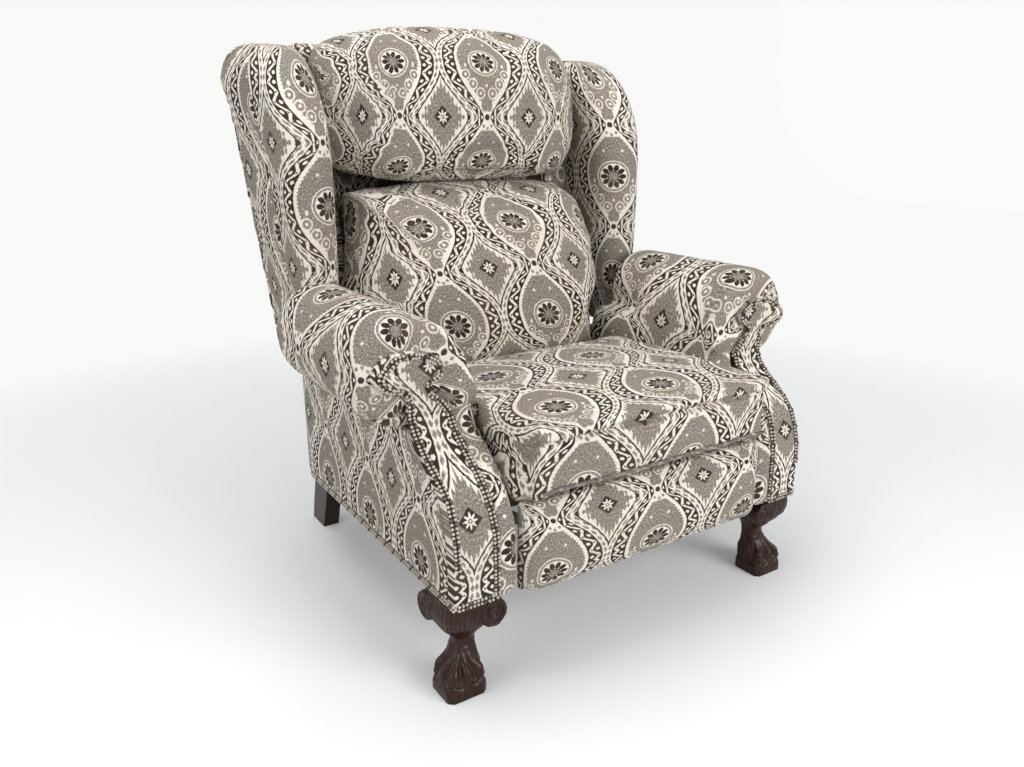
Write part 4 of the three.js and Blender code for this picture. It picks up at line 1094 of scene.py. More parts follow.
def piping(
    name: str, line: np.ndarray, grounds: Sequence[bpy.types.Object], radius: float
) -> bpy.types.Object:
    """A twisted cord laid on a cushion along a line.

    Args:
        name: the cord's name.
        line: rows of x, y and z near the surface.
        grounds: the pieces that it lies on.
        radius: half the cord's thickness.

    Returns:
        The cord.
    """
    sides, sunk, twist, core = 10, 0.3, 0.55, 0.78
    light, dark = 0.8, 0.25
    tree = surface_tree(grounds)
    places, middle = spaced(line, radius * 0.45)
    hits = [tree.find_nearest(Vector(point)) for point in middle]
    spots = [hit[0] + hit[1] * radius * (1 - sunk) for hit in hits]
    build = bmesh.new()
    tones = build.loops.layers.uv.new(CLOTH_MAP)
    rings = []
    for index, spot in enumerate(spots):
        ahead = spots[min(index + 1, len(spots) - 1)] - spots[max(index - 1, 0)]
        out = hits[index][1]
        across = ahead.normalized().cross(out).normalized()
        ring = []
        for side in range(sides):
            angle = side / sides * math.tau
            strand = abs(math.sin(angle + places[index] / radius * twist))
            reach = radius * (core + (1 - core) * strand)
            ring.append(build.verts.new(
                spot + (across * math.cos(angle) + out * math.sin(angle)) * reach
            ))
        rings.append(ring)
    for index, (low, high) in enumerate(zip(rings, rings[1:])):
        for side in range(sides):
            after = (side + 1) % sides
            facet = build.faces.new((low[side], low[after], high[after], high[side]))
            facet.smooth = True
            angle = (side + 0.5) / sides * math.tau
            strand = math.sin(angle + places[index] / radius * twist)
            tone = 0.55 + 0.9 * noise.noise(spots[index] * 90)
            for corner in facet.loops:
                corner[tones].uv = (light * tone if strand > 0 else dark, 0.0)
    build.faces.new(rings[0][::-1])
    build.faces.new(rings[-1])
    bmesh.ops.recalc_face_normals(build, faces=build.faces)
    return new_piece(name, mesh_from(build, name))


@dataclass
class ClothLay:
    """How the print lies round a piece whose section goes round an axis.

    The print's columns climb round the section, or go round it where ``around_is_across``. A
    ``dome`` is where the piece's front and rear ends turn over, and its radius. Under ``roll_foot``
    the front of a domed piece has its cloth laid flat.
    """

    axis: int
    centre: Pair
    flower: Place
    lean: Pair = (0.0, 0.0)
    start: float = -math.pi / 2
    stretch: Pair = (1.0, 1.0)
    around_is_across: bool = False
    flip: bool = False
    dome: Place | None = None
    roll_foot: float = 0.45
    slots: int = 120

    def angles(self, points: np.ndarray) -> tuple[np.ndarray, np.ndarray]:
        """Where each point stands in its section.

        Args:
            points: rows of x, y and z.

        Returns:
            The angle past the seam and the distance from the middle.
        """
        first, second = [i for i in range(3) if i != self.axis]
        along = points[:, self.axis]
        a = points[:, first] - self.centre[0] - self.lean[0] * along
        b = points[:, second] - self.centre[1] - self.lean[1] * along
        return np.mod(np.arctan2(b, a) - self.start, math.tau), np.hypot(a, b)

    def girth(self, points: np.ndarray, middle: float, reach: float) -> tuple[np.ndarray, np.ndarray]:
        """The way round the section, measured on a slice of the piece.

        Args:
            points: rows of x, y and z.
            middle: where the slice is, along the axis.
            reach: half its thickness.

        Returns:
            Angles, and the lengths round the section up to them.
        """
        near = np.abs(points[:, self.axis] - middle) < reach
        angle, radius = self.angles(points[near])
        count = self.slots
        slots = np.minimum((angle / math.tau * count).astype(int), count - 1)
        total = np.bincount(slots, radius, count)
        share = np.bincount(slots, minlength=count)
        known = np.nonzero(share)[0]
        middle_angles = (np.arange(count) + 0.5) / count * math.tau
        radii = np.interp(
            middle_angles, middle_angles[known], total[known] / share[known], period=math.tau
        )
        radii = (np.roll(radii, 1) + radii * 2 + np.roll(radii, -1)) / 4
        step = math.tau / count
        slope = (np.roll(radii, -1) - np.roll(radii, 1)) / (2 * step)
        lengths = np.concatenate([[0], np.cumsum(np.hypot(radii, slope) * step)])
        return np.linspace(0, math.tau, count + 1), lengths

    def length_along(self, points: np.ndarray) -> np.ndarray:
        """The way along the axis, measured on the cloth where the piece turns over.

        Args:
            points: rows of x, y and z.

        Returns:
            One length for each point.
        """
        along = points[:, self.axis].copy()
        if self.dome:
            start, rear, radius = self.dome
            _, reach = self.angles(points)
            place = points[:, self.axis]
            along -= smoothstep(start + 0.01, start - 0.012, place) * (radius - reach)
            behind = smoothstep(rear - 0.012, rear - 0.002, place)
            along += behind * np.clip(radius - reach, 0, None)
        return along

    def lay(self, piece: bpy.types.Object, middle: float, reach: float = 0.03) -> None:
        """Lays the print on a piece.

        Args:
            piece: the piece.
            middle: where its section is measured, along the axis.
            reach: half the thickness of that slice.
        """
        points = read_points(piece)
        angle, _ = self.angles(points)
        table, lengths = self.girth(points, middle, reach)
        corners, firsts, counts = facet_corners(piece)
        corner_angle = angle[corners]
        owner = np.repeat(np.arange(len(firsts)), counts)
        highest = np.maximum.reduceat(corner_angle, firsts)[owner]
        wraps = highest - corner_angle > math.pi
        round_length = np.interp(corner_angle, table, lengths) + wraps * lengths[-1]
        along = self.length_along(points)[corners]
        if self.flip:
            round_length = -round_length
        across, up = (round_length, along) if self.around_is_across else (along, round_length)
        if self.dome:
            facing = facet_normals(piece)[owner]
            x, y, z = points[corners].T
            flat = (facing[:, 1] < -0.3) & (np.abs(facing[:, 0]) < 0.65) & (z < self.roll_foot)
            across = np.where(flat, x, across)
            up = np.where(flat, z + 0.6 * y, up)
        nearest = np.argmin(np.linalg.norm(points[corners] - np.array(self.flower), axis=1))
        across = across - across[nearest]
        up = up - up[nearest]
        write_lay(piece, across / self.stretch[0], up / self.stretch[1])


def lay_cushion(
    piece: bpy.types.Object,
    flower: Pair,
    stretch: Pair = (1.0, 1.0),
    shear: float = 0.0,
) -> None:
    """Lays the print on a cushion's front and carries it round the sides.

    Args:
        piece: the cushion, whose front faces -Y.
        flower: x and z of one of the print's flowers.
        stretch: the print's size across and up, 1 as woven.
        shear: how far the columns lean.
    """
    points = read_points(piece)
    normals = read_normals(piece)
    x, y, z = points.T
    low, high = z.min(), z.max()
    margin = 0.2 * (high - low)
    heights = np.linspace(low + margin, high - margin, 12)
    fronts = [y[(np.abs(z - height) < 0.012) & (np.abs(x) < 0.08)].min() for height in heights]
    slope, level = np.polyfit(heights, fronts, 1)
    depth = np.maximum(y - (slope * z + level), 0)
    sideways, upright = np.abs(normals[:, 0]), np.abs(normals[:, 2])
    share = sideways / np.maximum(sideways + upright, 1e-6)
    across = x + np.sign(x) * depth * share
    up = z + np.sign(z - (low + high) / 2) * depth * (1 - share)
    corners, _, _ = facet_corners(piece)
    across = across[corners] - flower[0]
    up = up[corners] - flower[1]
    write_lay(piece, (across + shear * up) / stretch[0], up / stretch[1])


def facet_corners(piece: bpy.types.Object) -> tuple[np.ndarray, np.ndarray, np.ndarray]:
    """The corners of a mesh's facets.

    Args:
        piece: the piece.

    Returns:
        The point of each corner, each facet's first corner, and its number of corners.
    """
    mesh = piece.data
    corners = np.empty(len(mesh.loops), np.int32)
    mesh.loops.foreach_get("vertex_index", corners)
    firsts = np.empty(len(mesh.polygons), np.int32)
    counts = np.empty(len(mesh.polygons), np.int32)
    mesh.polygons.foreach_get("loop_start", firsts)
    mesh.polygons.foreach_get("loop_total", counts)
    return corners, firsts, counts


def facet_normals(piece: bpy.types.Object) -> np.ndarray:
    """Reads the outward directions of a mesh's facets.

    Args:
        piece: the piece.

    Returns:
        Rows of x, y and z.
    """
    normals = np.empty(len(piece.data.polygons) * 3, np.float32)
    piece.data.polygons.foreach_get("normal", normals)
    return normals.reshape(-1, 3)


def write_lay(piece: bpy.types.Object, across: np.ndarray, up: np.ndarray) -> None:
    """Stores where the laid cloth's points come to lie.

    Args:
        piece: the piece.
        across: metres across the cloth at each facet corner.
        up: metres up the cloth at each facet corner.
    """
    layer = piece.data.uv_layers.get(CLOTH_MAP) or piece.data.uv_layers.new(name=CLOTH_MAP)
    layer.data.foreach_set("uv", np.column_stack([across, up]).astype(np.float32).ravel())


def shift_lay(piece: bpy.types.Object, facets: np.ndarray, by: Pair) -> None:
    """Lays some facets of a piece from another place on the cloth.

    Args:
        piece: the piece.
        facets: true for each facet that is shifted.
        by: metres across and up.
    """
    layer = piece.data.uv_layers[CLOTH_MAP]
    values = np.empty(len(layer.data) * 2, np.float32)
    layer.data.foreach_get("uv", values)
    values = values.reshape(-1, 2)
    _, firsts, counts = facet_corners(piece)
    owner = np.repeat(np.arange(len(firsts)), counts)
    values[facets[owner]] += np.array(by, np.float32)
    layer.data.foreach_set("uv", values.ravel())


def lay_flat(
    piece: bpy.types.Object, axes: tuple[int, int], flower: Pair = (0.0, 0.0), stretch: float = 1.0
) -> None:
    """Lays the print flat on a piece.

    Args:
        piece: the piece.
        axes: the axes that run across and up the cloth.
        flower: where one of the print's flowers lies.
        stretch: the print's size across, 1 as woven.
    """
    corners, _, _ = facet_corners(piece)
    points = read_points(piece)[corners]
    across = (points[:, axes[0]] - flower[0]) / stretch
    write_lay(piece, across, points[:, axes[1]] - flower[1])


@dataclass
class Workroom:
    """The finishes, each made once, and the last step of every piece."""

    cloth: bpy.types.Material = field(default_factory=lambda: PrintedCloth().material())
    braid: bpy.types.Material = field(default_factory=lambda: BeadBraid().material())
    walnut: bpy.types.Material = field(default_factory=lambda: StainedWood().material())
    hardwood: bpy.types.Material = field(default_factory=lambda: SawnWood().material())
    steel: bpy.types.Material = field(default_factory=lambda: EnamelledSteel().material())

    def hand_over(
        self,
        piece: bpy.types.Object,
        body: str,
        slot: str,
        nodes: Sequence[str] = (),
        fill: float | None = None,
    ) -> bpy.types.Object:
        """Gives a finished piece its finish, its body and the nodes it stands for.

        Args:
            piece: the piece.
            body: the body that it rides on.
            slot: the name of its finish: fabric, welt or walnut.
            nodes: the frame's nodes that it replaces.
            fill: not used.

        Returns:
            The piece.
        """
        finishes = {"fabric": self.cloth, "welt": self.braid, "walnut": self.walnut}
        piece.data.materials.clear()
        piece.data.materials.append(finishes[slot])
        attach(piece, body)
        if nodes:
            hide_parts(*nodes)
        log.info("%s: %d facets, rides on %s", piece.name, len(piece.data.polygons), body)
        return piece

    def dress_node(self, node: str, finish: bpy.types.Material) -> None:
        """Gives a solid of the frame a finish.

        Args:
            node: the solid.
            finish: the finish.
        """
        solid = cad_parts[node]
        if not solid.material_slots:
            solid.data.materials.append(finish)
        for holder in solid.material_slots:
            holder.material = finish
        log.info("%s: kept from the frame, %s", node, finish.name)


# The chair


@dataclass(frozen=True)
class ScrollHead:
    """How the front panel narrows at its neck and spreads into its scroll, on the left arm."""

    neck_height: float = 0.480
    neck_reach: float = 0.018
    neck_middle: float = 0.370
    neck_share: float = 0.34
    head_rise: Pair = (0.487, 0.508)
    middle: float = 0.389
    outward_share: float = 0.50
    inward_share: float = 0.74

    def spread(self, x: np.ndarray, z: np.ndarray) -> np.ndarray:
        """Draws in the panel's neck and spreads its scroll to both sides.

        Args:
            x: places across the left arm.
            z: their heights.

        Returns:
            The places, moved.
        """
        neck = np.exp(-(((z - self.neck_height) / self.neck_reach) ** 2))
        x = x + neck * self.neck_share * (self.neck_middle - x)
        share = np.where(x > self.middle, self.outward_share, self.inward_share)
        return x + smoothstep(*self.head_rise, z) * share * (x - self.middle)


@dataclass
class Braid:
    """The two-row bead braid of one arm: hem, front panel edges and scroll disc.

    The outline follows the arm of the frame, in shares of its height, depth and width.
    """

    room: Workroom
    side: Side
    arm_front: float = -0.38974
    hem: float = 0.175
    arm_height: float = 0.339
    arm_setback: float = 0.128
    seat_half: float = 0.262
    arm_width: float = 0.122
    side_turn: float = 0.21226
    proud: float = 0.003
    roll_centre: Pair = (0.389, 0.514)
    disc_radius: float = 0.038
    disc_steps: int = 14
    width: float = 0.012
    pitch: float = 0.0066
    bead: float = 0.0027
    bead_rise: float = 0.0019
    row_share: float = 0.27
    tape_share: float = 0.16
    tape_sunk: float = 0.0015
    tape_rise: float = 0.0010
    dark_every: int = 5
    light_tone: float = 1.0
    dark_tone: float = 0.25
    setback_shares: tuple[Pair, ...] = (
        (0.3, 0.01), (0.42, 0.09), (0.5, 0.18), (0.56, 0.33), (0.62, 0.535), (0.68, 0.75),
        (0.74, 0.9), (0.8, 0.97), (0.86, 0.95), (0.91, 0.9), (0.96, 0.875),
    )
    inner_shares: tuple[Pair, ...] = (
        (0, 0.35), (0.37, 0.35), (0.5, 0.4), (0.66, 0.41), (0.8, 0.43), (0.86, 0.5), (0.91, 0.6),
    )
    outer_shares: tuple[Pair, ...] = (
        (0, 1), (0.5, 1), (0.62, 1.035), (0.78, 1.04), (0.86, 1.09), (0.91, 1.17),
    )
    level_shares: tuple[float, ...] = (0.2, 0.32, 0.42, 0.5, 0.56, 0.62, 0.68, 0.74, 0.8, 0.86, 0.91)

    def read(self, shares: tuple[Pair, ...], z: float) -> float:
        """Reads a table of shares at a height.

        Args:
            shares: rows of height share and value.
            z: the height.

        Returns:
            The value there.
        """
        share = (z - self.hem) / self.arm_height
        return float(np.interp(share, [row[0] for row in shares], [row[1] for row in shares]))

    def face(self, x: float, z: float) -> Vector:
        """The point of the front panel at x and z on the left arm."""
        setback = self.arm_setback * self.read(self.setback_shares, z)
        return Vector((x, self.arm_front + setback - self.proud, z))

    def edge(self, shares: tuple[Pair, ...], heights: Sequence[float], inset: float) -> list[Vector]:
        """One long edge of the front panel.

        Args:
            shares: the edge's table, in shares of the arm's width.
            heights: the heights of its points.
            inset: how far it is shifted across.

        Returns:
            The edge, from the hem up.
        """
        return [
            self.face(self.seat_half + self.arm_width * self.read(shares, z) + inset, z) for z in heights
        ]

    def route(self) -> list[Vector]:
        """The braid's middle line on the left arm.

        Returns:
            The line, from the rear of the hem.
        """
        half = self.width / 2
        outside = self.seat_half + self.arm_width
        low = self.hem + half
        hem = [Vector((outside, self.side_turn, low)), Vector((outside, self.arm_front + 0.002, low))]
        hem.append(self.face(outside - half, low))
        heights = [low] + [self.hem + share * self.arm_height for share in self.level_shares]
        inner = self.edge(self.inner_shares, heights, half)
        outer = self.edge(self.outer_shares, heights, -half)
        dip = math.asin((heights[-1] - self.roll_centre[1]) / self.disc_radius)
        reach = self.disc_radius - half
        disc = []
        for step in range(1, self.disc_steps):
            angle = math.pi - dip + (2 * dip - math.pi) * step / self.disc_steps
            x = self.roll_centre[0] + reach * math.cos(angle)
            disc.append(self.face(x, self.roll_centre[1] + reach * math.sin(angle)))
        return hem + inner + disc + outer[::-1][:-1]

    def build(self, grounds: Sequence[bpy.types.Object]) -> bpy.types.Object:
        """Sews the braid onto the panels that carry it.

        Args:
            grounds: the front and outside panels of the same arm.

        Returns:
            The braid.
        """
        line = np.array([tuple(point) for point in self.route()])
        line[:, 0] = ScrollHead().spread(line[:, 0], line[:, 2]) * self.side.value
        _, middle = spaced(line, self.pitch)
        tree = surface_tree(grounds)
        build = bmesh.new()
        tones = build.loops.layers.uv.new(CLOTH_MAP)
        tape: list[list[bmesh.types.BMVert]] = []
        for index, row in enumerate(middle):
            point = Vector(row)
            ahead = Vector(middle[min(index + 1, len(middle) - 1)])
            behind = Vector(middle[max(index - 1, 0)])
            out = tree.find_nearest(point)[1]
            across = (ahead - behind).normalized().cross(out).normalized()
            ring = []
            for sign in (-1, 1):
                spot, normal, _, _ = tree.find_nearest(point + across * sign * self.width * self.row_share)
                dark = (index + (sign > 0)) % self.dark_every == 0
                self.sew_bead(build, tones, spot + normal * self.bead_rise, dark)
                rim = spot + across * sign * self.width * self.tape_share
                ring.append(build.verts.new(rim - normal * self.tape_sunk))
                ring.append(build.verts.new(rim + normal * self.tape_rise))
            tape.append([ring[0], ring[1], ring[3], ring[2]])
        for low, high in zip(tape, tape[1:]):
            for k in range(4):
                build.faces.new((low[k], low[(k + 1) % 4], high[(k + 1) % 4], high[k]))
        build.faces.new(tape[0][::-1])
        build.faces.new(tape[-1])
        bmesh.ops.recalc_face_normals(build, faces=build.faces)
        mesh = mesh_from(build, f"bead_braid_{self.side.word}")
        smooth_shaded(mesh)
        piece = new_piece(mesh.name, mesh)
        return self.room.hand_over(piece, "base", "welt", [f"arm_gimp_{self.side.word}"])

    def sew_bead(
        self, build: bmesh.types.BMesh, tones: bmesh.types.BMLayerItem, spot: Vector, dark: bool
    ) -> None:
        """Adds one bead of thread.

        Args:
            build: the braid's mesh.
            tones: the layer that holds how light each bead is.
            spot: the bead's middle.
            dark: whether its thread is dark.
        """
        bead = bmesh.ops.create_icosphere(
            build, subdivisions=1, radius=self.bead, matrix=Matrix.Translation(spot)
        )
        tone = self.dark_tone if dark else self.light_tone
        for facet in {facet for vert in bead["verts"] for facet in vert.link_faces}:
            for corner in facet.loops:
                corner[tones].uv = (tone, 0.0)


@dataclass
class CarvedLeg:
    """A cabriole front leg: fluted knee with two scrolls, slim ankle, clawed foot.

    Heights are above the floor.
    """

    room: Workroom
    side: Side
    facet: float = 0.0016
    foot_sides: Pair = (0.3170, 0.3900)
    foot_setback: float = 0.010
    foot_depth: float = 0.066
    knee_low: Pair = (0.098, 0.115)
    knee_high: Pair = (0.174, 0.166)
    flutes: int = 15
    flute_slant: float = 26.0
    flute_depth: float = 0.0016
    scroll_radius: float = 0.025
    scroll_height: float = 0.147
    scroll_foot: float = 0.118
    scroll_pitch: float = 0.0062
    scroll_depth: float = 0.0017
    toes: int = 4
    foot_low: Pair = (0.026, 0.036)
    foot_high: Pair = (0.078, 0.055)
    toe_depth: float = 0.0050
    knuckle: Pair = (0.047, 0.009)
    knuckle_rise: float = 0.0030
    claw: Pair = (0.0225, 0.0016)
    claw_arch: float = 0.006
    claw_depth: float = 0.0026
    tool_marks: float = 0.0003
    tool_mark_waves: float = 160.0

    def build(self) -> bpy.types.Object:
        """Carves the leg.

        Returns:
            The leg.
        """
        node = f"front_leg_{self.side.word}"
        leg = skin_over(f"carved_leg_{self.side.word}", [node], self.facet, 3)
        points = read_points(leg)
        normals = read_normals(leg)
        low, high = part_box(node)
        outward = self.side.value
        a = (points[:, 0] - sum(self.foot_sides) / 2 * outward) * outward
        b = points[:, 1] - (low.y + self.foot_setback + self.foot_depth / 2)
        turn = np.arctan2(b, a)
        shift = self.fluting(turn, points[:, 2])
        near_side = (low.x if outward > 0 else -high.x) + self.scroll_radius
        for along, centre, faces_out in (
            (points[:, 0] * outward, near_side, -normals[:, 1]),
            (points[:, 1], high.y - self.scroll_radius, normals[:, 0] * outward),
        ):
            shift = self.scroll(shift, along - centre, points[:, 2], faces_out)
        shift += self.toe_carving(turn, points[:, 2])
        shift += self.tool_marks * ripples(points, self.tool_mark_waves, 5.0)
        write_points(leg, points + normals * shift[:, None])
        smooth_shaded(leg.data)
        return self.room.hand_over(leg, "base", "walnut", [node])

    def fluting(self, turn: np.ndarray, z: np.ndarray) -> np.ndarray:
        """The knee's flutes, gathered toward the ankle.

        Args:
            turn: the angle round the leg at each point.
            z: the height of each point.

        Returns:
            How far each point is pushed out.
        """
        knee = smoothstep(*self.knee_low, z) * smoothstep(*self.knee_high, z)
        flute = np.abs(np.sin(turn * self.flutes + z * self.flute_slant))
        return -self.flute_depth * knee * (1 - flute) ** 1.4

    def scroll(
        self, shift: np.ndarray, along: np.ndarray, z: np.ndarray, faces_out: np.ndarray
    ) -> np.ndarray:
        """Cuts a spiral scroll into one face of the knee, in place of its flutes.

        Args:
            shift: how far each point is pushed out so far.
            along: the way across the face from the scroll's middle.
            z: the height of each point.
            faces_out: how squarely the surface faces the scroll's side.

        Returns:
            How far each point is pushed out.
        """
        reach = np.hypot(along, z - self.scroll_height)
        angle = np.arctan2(z - self.scroll_height, along)
        coil = np.abs(np.sin(math.pi * (reach / self.scroll_pitch - angle / math.tau)))
        on = (faces_out > 0.75) & (z > self.scroll_foot) & (reach < self.scroll_radius * 1.02)
        return np.where(on, -self.scroll_depth * (1 - coil) ** 1.2, shift)

    def toe_carving(self, turn: np.ndarray, z: np.ndarray) -> np.ndarray:
        """Grooves between the toes, knuckles on them, and claws over the block.

        Args:
            turn: the angle round the leg at each point.
            z: the height of each point.

        Returns:
            How far each point is pushed out.
        """
        toe = np.abs(np.cos(turn * self.toes))
        foot = smoothstep(*self.foot_low, z) * smoothstep(*self.foot_high, z)
        knuckle = np.exp(-(((z - self.knuckle[0]) / self.knuckle[1]) ** 2)) * toe ** 2
        claw_line = self.claw[0] + self.claw_arch * toe ** 1.5
        claw = np.exp(-(((z - claw_line) / self.claw[1]) ** 2))
        groove = foot * (1 - toe) ** 1.6
        return self.knuckle_rise * knuckle - self.toe_depth * groove - self.claw_depth * claw


@dataclass
class Base:
    """The arms, their front panels and braid, the outside panels and the carved legs.

    Places are given for the left arm, whose mirror image is the right one.
    """

    room: Workroom
    voxel: float = 0.0055
    roll_centre: Pair = (0.389, 0.514)
    dome: Place = (-0.235, 0.115, 0.083)
    flowers: dict[Side, Place] = field(default_factory=lambda: {
        Side.LEFT: (0.347, 0.012, 0.592), Side.RIGHT: (-0.400, -0.255, 0.581),
    })
    cloth_stretch: Pair = (1.18, 1.13)
    cloth_seam_turn: float = 0.9
    flank_heights: tuple[float, ...] = (0.44, 0.47, 0.50, 0.53, 0.56, 0.585, 0.60)
    flank_places: tuple[float, ...] = (0.262, 0.264, 0.270, 0.281, 0.299, 0.325, 0.36)
    flank_limit: float = 0.37
    front_edge: Pair = (0.285, -0.365)
    front_edge_size: Pair = (-0.0245, -0.0235)
    pleats: int = 4
    pleat_depth: float = 0.004
    wrinkle: float = 0.0012
    front_fill: float = 0.006
    knob: Pair = (0.420, 0.512)
    knob_reach: float = 0.021
    knob_rise: float = 0.014
    scroll_rise: float = 0.013
    scroll_sunk: float = 0.004
    front_flower: Pair = (0.245, 0.208)
    side_flower: Pair = (-0.084, 0.212)
    side_stretch: float = 0.94

    def build(self) -> None:
        """Builds both sides and the panel across the rear."""
        self.panels(self.arms())
        self.legs()

    def arms(self) -> dict[Side, bpy.types.Object]:
        """The covers that run over the roll and down the inside of each arm.

        Returns:
            The cover of each side.
        """
        left = skin_over("arm_cover_left", ["inside_arm_left", "arm_roll_left"], self.voxel, 6)
        self.fill_out(left)
        refined(reskinned(left, self.voxel, 5))
        self.gather(left)
        covers = {Side.LEFT: left, Side.RIGHT: mirrored(left, "arm_cover_right")}
        for side, piece in covers.items():
            sign = side.value
            lay = ClothLay(
                axis=1, centre=(self.roll_centre[0] * sign, self.roll_centre[1]),
                flower=self.flowers[side], start=-math.pi / 2 - self.cloth_seam_turn * sign,
                stretch=self.cloth_stretch, flip=sign > 0, dome=self.dome,
            )
            lay.lay(piece, 0.0)
            nodes = [f"inside_arm_{side.word}", f"arm_roll_{side.word}"]
            self.room.hand_over(piece, "base", "fabric", nodes, 0.9)
        return covers

    def fill_out(self, piece: bpy.types.Object) -> None:
        """Lets the roll flow down into the inside of the arm, and squares the front edge.

        Args:
            piece: the left arm's cover.
        """
        points = read_points(piece)
        normals = read_normals(piece)
        x, y, z = points.T
        flank = np.interp(z, self.flank_heights, self.flank_places)
        inner = smoothstep(-0.05, -0.35, normals[:, 0]) * smoothstep(0.02, -0.05, y)
        inner *= smoothstep(0.445, 0.46, z) * smoothstep(0.60, 0.575, z) * (x < self.flank_limit)
        x = np.where(x > flank, x + inner * (flank - x), x)
        x, y = squared(x, y, self.front_edge, self.front_edge_size, 0.9)
        write_points(piece, np.column_stack([x, y, z]))

    def gather(self, piece: bpy.types.Object) -> None:
        """Gathers the roll's domed front into soft pleats round the disc.

        Args:
            piece: the left arm's cover.
        """
        points = read_points(piece)
        normals = read_normals(piece)
        _, y, z = points.T
        a = points[:, 0] - self.roll_centre[0]
        b = z - self.roll_centre[1]
        turn = np.arctan2(b, a)
        dome = smoothstep(-0.20, -0.25, y) * smoothstep(0.09, 0.05, np.hypot(a, b))
        dome *= smoothstep(0.40, 0.44, z)
        fold = np.abs(np.sin(turn * self.pleats + 0.9 * np.sin(turn * 2 + 1))) ** 0.5
        shift = -self.pleat_depth * dome * (1 - fold) + self.wrinkle * ripples(points, 22.0, 3.0)
        low_front = smoothstep(-0.34, -0.38, y) * smoothstep(0.45, 0.36, z)
        shift += self.front_fill * low_front * smoothstep(0.0, -0.8, normals[:, 1])
        write_points(piece, points + normals * shift[:, None])

    def scroll(self, facing: bpy.types.Object, arm: bpy.types.Object, sign: int) -> None:
        """Lays the head of the front panel over the arm's dome, with a knob at its outer end.

        Args:
            facing: the front panel.
            arm: the arm's cover.
            sign: 1 on the left, -1 on the right.
        """
        tree = surface_tree([arm])
        points = read_points(facing)
        x = ScrollHead().spread(points[:, 0] * sign, points[:, 2])
        z = points[:, 2]
        rear, front = points[z > 0.49, 1].max(), points[z > 0.49, 1].min()
        share = np.clip((rear - points[:, 1]) / (rear - front), 0, 1)
        head = smoothstep(0.46, 0.485, z)
        away = ((x - self.knob[0]) / self.knob_reach) ** 2 + ((z - self.knob[1]) / self.knob_reach) ** 2
        knob = np.exp(-away ** 1.5)
        for index in np.nonzero(head > 0)[0]:
            start = Vector((x[index] * sign, -0.6, z[index]))
            spot, _, _, _ = tree.ray_cast(start, Vector((0, 1, 0)))
            if spot is None:
                spot, _, _, _ = tree.find_nearest(Vector((x[index] * sign, -0.24, z[index])))
            rise = share[index] * (self.scroll_rise + self.knob_rise * knob[index])
            points[index, 1] += head[index] * (spot.y + self.scroll_sunk - rise - points[index, 1])
        points[:, 0] = x * sign
        write_points(facing, points)

    def panels(self, arms: dict[Side, bpy.types.Object]) -> None:
        """The front and outside panels of the arms, and the panel across the rear.

        Args:
            arms: the arms' covers.
        """
        for side, arm in arms.items():
            facing = skin_over(f"front_panel_{side.word}", [f"arm_facing_{side.word}"], 0.003, 4)
            self.scroll(facing, arm, side.value)
            refined(facing)
            lay_flat(facing, (0, 2), (self.front_flower[0] * side.value, self.front_flower[1]))
            self.room.hand_over(facing, "base", "fabric", [f"arm_facing_{side.word}"], 0.9)
            outside = refined(
                skin_over(f"side_panel_{side.word}", [f"outside_panel_{side.word}"], 0.004, 4)
            )
            lay_flat(outside, (1, 2), self.side_flower, self.side_stretch)
            self.room.hand_over(outside, "base", "fabric", [f"outside_panel_{side.word}"])
            Braid(self.room, side).build([facing, outside])
        rear = refined(skin_over("rear_panel", ["base_rear_panel"], 0.004, 4))
        lay_flat(rear, (0, 2))
        self.room.hand_over(rear, "base", "fabric", ["base_rear_panel"])

    def legs(self) -> None:
        """The carved front legs and the plain rear legs."""
        for side in Side:
            CarvedLeg(self.room, side).build()
            self.room.dress_node(f"rear_leg_{side.word}", self.room.walnut)


